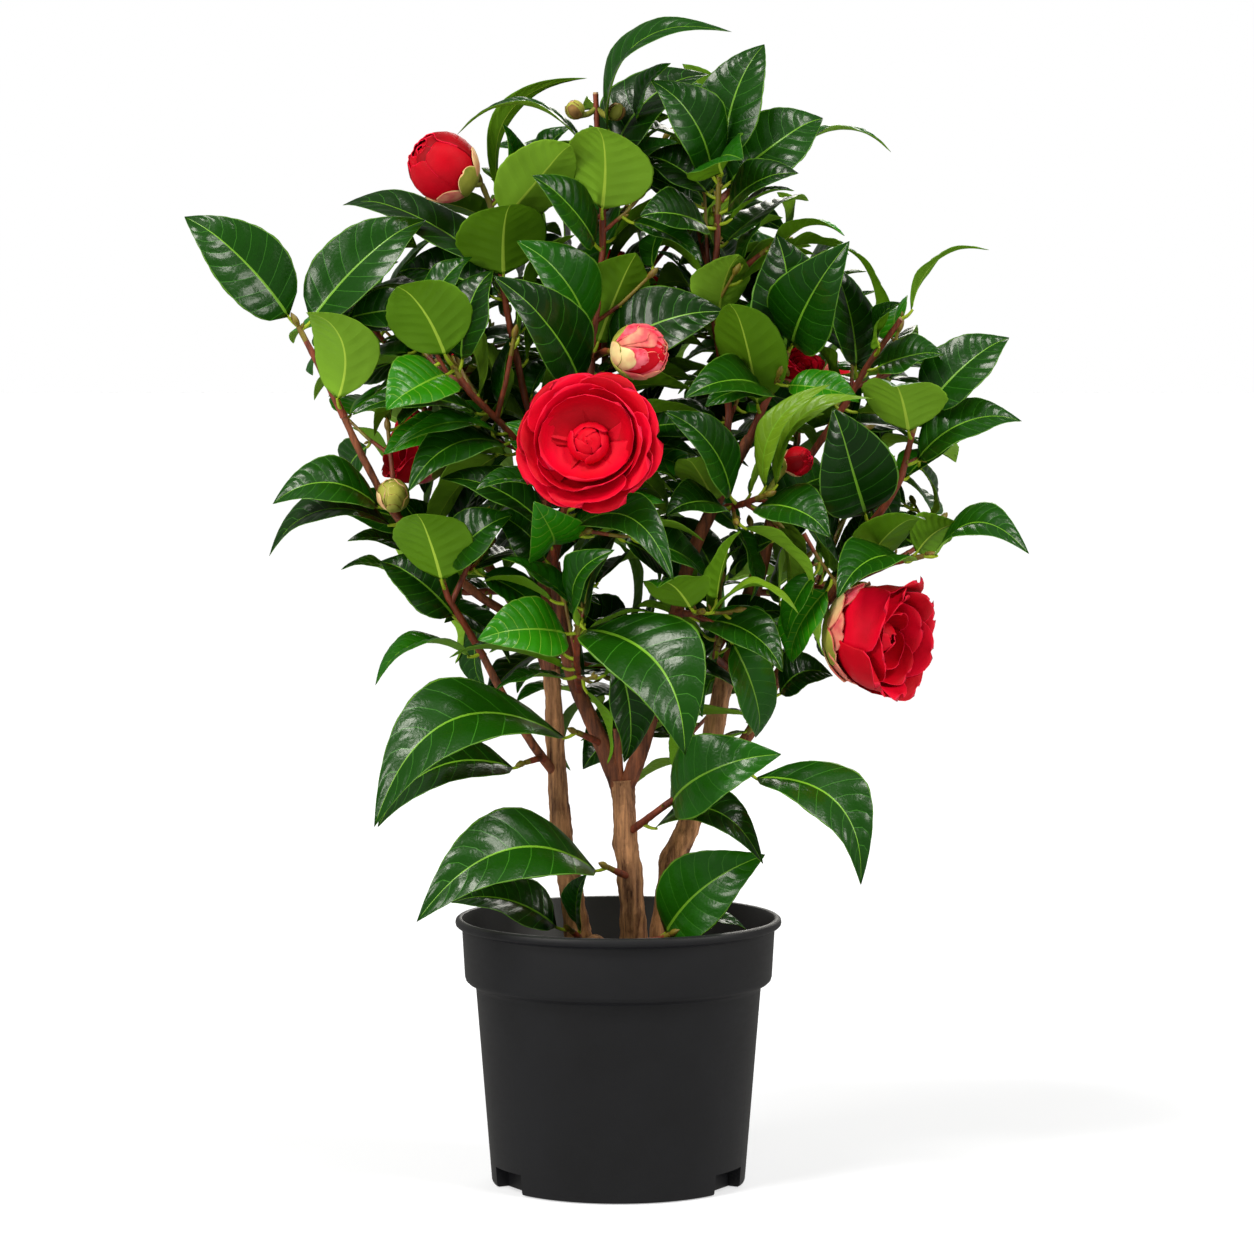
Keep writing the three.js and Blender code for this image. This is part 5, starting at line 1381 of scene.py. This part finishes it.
# %% Pot
POT_OUTSIDE = [
    (0, 0), (72.6, 0), (73.6, 0.4), (74.0, 1.4), (83, 113), (83.5, 114.5), (85, 116), (87.4, 117.2),
    (88.9, 118.6), (89.5, 120.6), (91.1, 148.6), (91.9, 149.4), (93.8, 149.9), (94.7, 150.8),
    (95, 152.2), (94.6, 153.9), (93.5, 154.8), (92.4, 155)]
POT_WALL = [
    (91.2, 154.6), (90.2, 152.8), (88.2, 120), (86.6, 117.4), (82.4, 114.6), (81.2, 112), (72.4, 2.6),
    (71.6, 2.2), (0, 2.2)]
POT_SIDES = 120


def turned(outline_points):
    """A closed heap from an outline of radius and height, turned about the pot's axis."""
    heap = Heap()
    rings = np.array([(r, z) for r, z in outline_points if r > 0], float)
    angle = 2 * np.pi * np.arange(POT_SIDES) / POT_SIDES
    points = np.stack([rings[:, :1] * np.cos(angle), rings[:, :1] * np.sin(angle),
                       rings[:, 1:] + 0 * angle], axis=-1)
    heap.add(points, grid_faces(len(rings), POT_SIDES, wrap=True), 0)
    for edge, way in ((0, -1), (len(rings) - 1, 1)):
        middle = np.array([[0, 0, rings[edge, 1]]])
        heap.add(np.vstack([points[edge], middle]), fan_faces(POT_SIDES, way), 0)
    return heap


def pot_finish():
    finish = Finish("black pot plastic")
    cloud = finish.noise(28, 4, 0.6)
    grain = finish.noise(1500, 2, 0.5)
    rub = finish.noise(90, 6, 0.7, (1, 1, 4))
    return finish.surface(
        Base_Color=finish.blend(cloud, colour(15, 15, 18), colour(24, 25, 29)),
        Roughness=rub * 0.14 + grain * 0.06 + 0.36,
        Normal=finish.bump(grain * 0.5 + rub * 0.5, 0.25, 0.0003), Specular_IOR_Level=0.45)


def loose_object(heap, name):
    """A closed mesh for cutting, with doubled points joined and faces turned outward."""
    mesh = bpy.data.meshes.new(name)
    shape = bmesh.new()
    points = [shape.verts.new(p) for p in (np.concatenate(heap.points) * MM).tolist()]
    for rows in heap.faces:
        for corners in rows.tolist():
            shape.faces.new([points[c] for c in corners])
    bmesh.ops.remove_doubles(shape, verts=shape.verts[:], dist=0.00001)
    bmesh.ops.recalc_face_normals(shape, faces=shape.faces[:])
    shape.to_mesh(mesh)
    shape.free()
    made = bpy.data.objects.new(name, mesh)
    bpy.context.collection.objects.link(made)
    return made


# %% Cut the foot notches
def box_at(angle, size, heights, name):
    """A box across the pot's foot; size is its inner reach, outer reach and width."""
    inner, outer, width = size
    heap = Heap()
    corners = [[a, b, c] for c in heights for b in (-width / 2, width / 2) for a in (inner, outer)]
    turn = np.array([[math.cos(angle), -math.sin(angle), 0],
                     [math.sin(angle), math.cos(angle), 0], [0, 0, 1]])
    heap.add(np.array(corners) @ turn.T,
             [[0, 2, 3, 1], [4, 5, 7, 6], [0, 1, 5, 4], [2, 6, 7, 3], [0, 4, 6, 2], [1, 3, 7, 5]], 0)
    return loose_object(heap, name)


def cut(target, tool, operation):
    change = target.modifiers.new("cut", "BOOLEAN")
    change.operation, change.object, change.solver = operation, tool, "EXACT"
    seen = target.evaluated_get(bpy.context.evaluated_depsgraph_get())
    mesh = bpy.data.meshes.new_from_object(seen)
    target.modifiers.clear()
    target.data = mesh
    bpy.data.objects.remove(tool)


NOTCH_ANGLES = (210, 330, 90)
NOTCH_SIZE, NOTCH_HEIGHTS = (65, 84, 30), (-1, 12)
POCKET_SIZE, POCKET_HEIGHTS = (63, 71.6, 33), (0.6, 13.6)  # closes the notch inside the pot
pot_piece = loose_object(turned(POT_OUTSIDE + POT_WALL), "nursery_pot")
for angle in NOTCH_ANGLES:
    cut(pot_piece, box_at(angle * DEGREE, POCKET_SIZE, POCKET_HEIGHTS, "pocket"), "UNION")
    cut(pot_piece, box_at(angle * DEGREE, NOTCH_SIZE, NOTCH_HEIGHTS, "notch"), "DIFFERENCE")
pot_piece.data.materials.clear()
pot_piece.data.materials.append(pot_finish())
for face in pot_piece.data.polygons:
    face.use_smooth = True
pot_piece.data.set_sharp_from_angle(angle=35 * DEGREE)
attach(pot_piece, "root")
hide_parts("pot")
print("pot has", len(pot_piece.data.polygons), "faces")

# %% [markdown]
# ## Soil
# Dark peaty soil fills the pot to 27 mm below the lip. Its top is crumbly, so the
# surface is a disc of rings lifted by seeded heights, with loose crumbs strewn on it.

# %% Soil
SOIL_TOP = 128
SOIL_RADIUS = 87.6
SOIL_RINGS, SOIL_SPOKES = 44, 132
SOIL_EDGE = SOIL_TOP - 5
# Radius and height down the side of the plug, which follows the inside of the pot.
SOIL_SIDE = ((SOIL_RADIUS, SOIL_EDGE), (86, 120), (80.4, 114), (74, 14), (2, 14))
CRUMBS, CRUMB_RINGS, CRUMB_SIDES = 420, 4, 6


def soil_finish():
    finish = Finish("peaty soil")
    crumb = finish.noise(420, 6, 0.75)
    patch = finish.noise(60, 3, 0.5)
    stops = [(0.35, colour(30, 20, 13)), (0.7, colour(92, 66, 44))]
    tone = finish.node("ShaderNodeValToRGB", {"stops": stops},
                       {"Fac": crumb * 0.75 + patch * 0.25}, out="Color")
    return finish.surface(Base_Color=tone, Roughness=crumb * 0.1 + 0.85,
                          Normal=finish.bump(crumb, 0.9, 0.002))


def add_soil_plug(heap, random):
    """The lumpy top as rings of heights, and the plain side below it."""
    reach = np.linspace(2, SOIL_RADIUS, SOIL_RINGS)[:, None]
    turn = 2 * np.pi * np.arange(SOIL_SPOKES) / SOIL_SPOKES
    around_share = turn / (2 * np.pi)
    lumps = smooth_lattice(lattice(random, 30, 40), reach / 6, around_share * 40)
    grit = smooth_lattice(lattice(random, 60, 132), reach / 2, around_share * 132)
    height = SOIL_TOP - 1.6 + 3.0 * (lumps - 0.5) + 1.6 * (grit - 0.5)
    height[-1] = SOIL_EDGE
    top = np.stack([reach * np.cos(turn), reach * np.sin(turn), height], axis=-1)
    heap.add(top, grid_faces(SOIL_RINGS, SOIL_SPOKES, wrap=True), 0)
    side = np.stack([np.stack([r * np.cos(turn), r * np.sin(turn), z + 0 * turn], axis=-1)
                     for r, z in SOIL_SIDE])
    heap.add(side, grid_faces(len(SOIL_SIDE), SOIL_SPOKES, wrap=True), 0)
    heap.add(np.vstack([top[0], [[0, 0, SOIL_TOP - 1.6]]]), fan_faces(SOIL_SPOKES, -1), 0)


def add_crumb(heap, random):
    reach, angle = 84 * math.sqrt(next(random)), 2 * math.pi * next(random)
    size = 0.8 + 2.6 * next(random) ** 2
    turn = 2 * np.pi * np.arange(CRUMB_SIDES) / CRUMB_SIDES
    rise = np.array([-0.9, -0.2, 0.5, 0.95])[:, None]
    rough = 0.75 + 0.5 * lattice(random, CRUMB_RINGS, CRUMB_SIDES)
    ring = size * np.cos(rise) * rough
    crumb = np.stack([ring * np.cos(turn), ring * np.sin(turn) * 0.7,
                      size * 0.7 * np.sin(rise) * rough], axis=-1)
    crumb = crumb + [reach * math.cos(angle), reach * math.sin(angle), SOIL_TOP - 1.2]
    heap.add(crumb, grid_faces(CRUMB_RINGS, CRUMB_SIDES, wrap=True), 0)
    heap.add(crumb[-1], [range(CRUMB_SIDES)], 0)


soil_heap = Heap()
random = seeded_numbers(88)
add_soil_plug(soil_heap, random)
for _ in range(CRUMBS):
    add_crumb(soil_heap, random)
soil_heap.build("soil_crumbs", [soil_finish()], ["soil"])

# %% [markdown]
# ## Studio
# Two high soft suns and three window lamps, in a white room with a white floor, give
# the even light of a catalogue. The camera stands 2.6 m off, at the height of the
# crown, and looks slightly down.

# %% Floor and backdrop
def plain_light(name, tone, strength):
    """Matt white paper that glows a little, so that it stays white in its own shade."""
    finish = Finish(name)
    paper = finish.blend(finish.noise(3), shade(tone, 0.98), tone)
    return finish.surface(Base_Color=paper, Roughness=0.9, Specular_IOR_Level=0.0,
                          Emission_Color=(1, 1, 1, 1), Emission_Strength=strength)


bpy.ops.mesh.primitive_plane_add(size=60, location=(0, 0, -0.0005))
floor = bpy.context.object
floor.name = "floor"
floor.data.materials.append(plain_light("white floor", [0.4, 0.41, 0.44, 1], 0.54))
bpy.ops.mesh.primitive_uv_sphere_add(radius=24, segments=64, ring_count=32)
backdrop = bpy.context.object
backdrop.name = "backdrop"
backdrop.data.materials.append(plain_light("white backdrop", [0, 0, 0, 1], 1.0))
backdrop.visible_diffuse = backdrop.visible_glossy = backdrop.visible_shadow = False
floor.visible_glossy = False


# %% Lamps
def point_at(thing, place, aim):
    thing.location = place
    thing.rotation_mode = "QUATERNION"
    thing.rotation_quaternion = (Vector(aim) - Vector(place)).to_track_quat("-Z", "Y")
    bpy.context.collection.objects.link(thing)


def lamp(name, kind, place, aim, strength, size):
    """size is a lamp's width in metres, or the width of a distant one in degrees."""
    data = bpy.data.lights.new(name, kind)
    data.energy = strength
    data.color = (1, 0.97, 0.9)
    if kind == "AREA":
        data.size = size
    else:
        data.angle = size * DEGREE
    point_at(bpy.data.objects.new(name, data), place, aim)


lamp("high lamp", "SUN", (-1.3, -1.5, 3.2), (0, 0, 0.2), 2.2, 16)
lamp("second high lamp", "SUN", (1.5, -1.3, 3.0), (0, 0, 0.2), 1.5, 16)
lamp("left window", "AREA", (-1.7, -1.4, 1.2), (0, 0, 0.35), 24, 0.6)
lamp("right window", "AREA", (1.9, -0.7, 1.2), (0, 0, 0.35), 18, 0.6)
lamp("back window", "AREA", (0.4, 2.2, 1.6), (0, 0, 0.35), 20, 1.0)

world = bpy.data.worlds.new("studio air")
world.use_nodes = True
world.node_tree.nodes["Background"].inputs["Color"].default_value = (1, 0.98, 0.92, 1)
world.node_tree.nodes["Background"].inputs["Strength"].default_value = 0.26
bpy.context.scene.world = world
bpy.context.scene.view_settings.view_transform = "Standard"

# %% Camera
CAMERA_PLACE, CAMERA_AIM = (0.005, -2.6, 0.51), (0.005, 0, 0.324)
camera_data = bpy.data.cameras.new("camera")
camera_data.lens, camera_data.sensor_width = 129, 36
camera = bpy.data.objects.new("camera", camera_data)
point_at(camera, CAMERA_PLACE, CAMERA_AIM)
bpy.context.scene.camera = camera
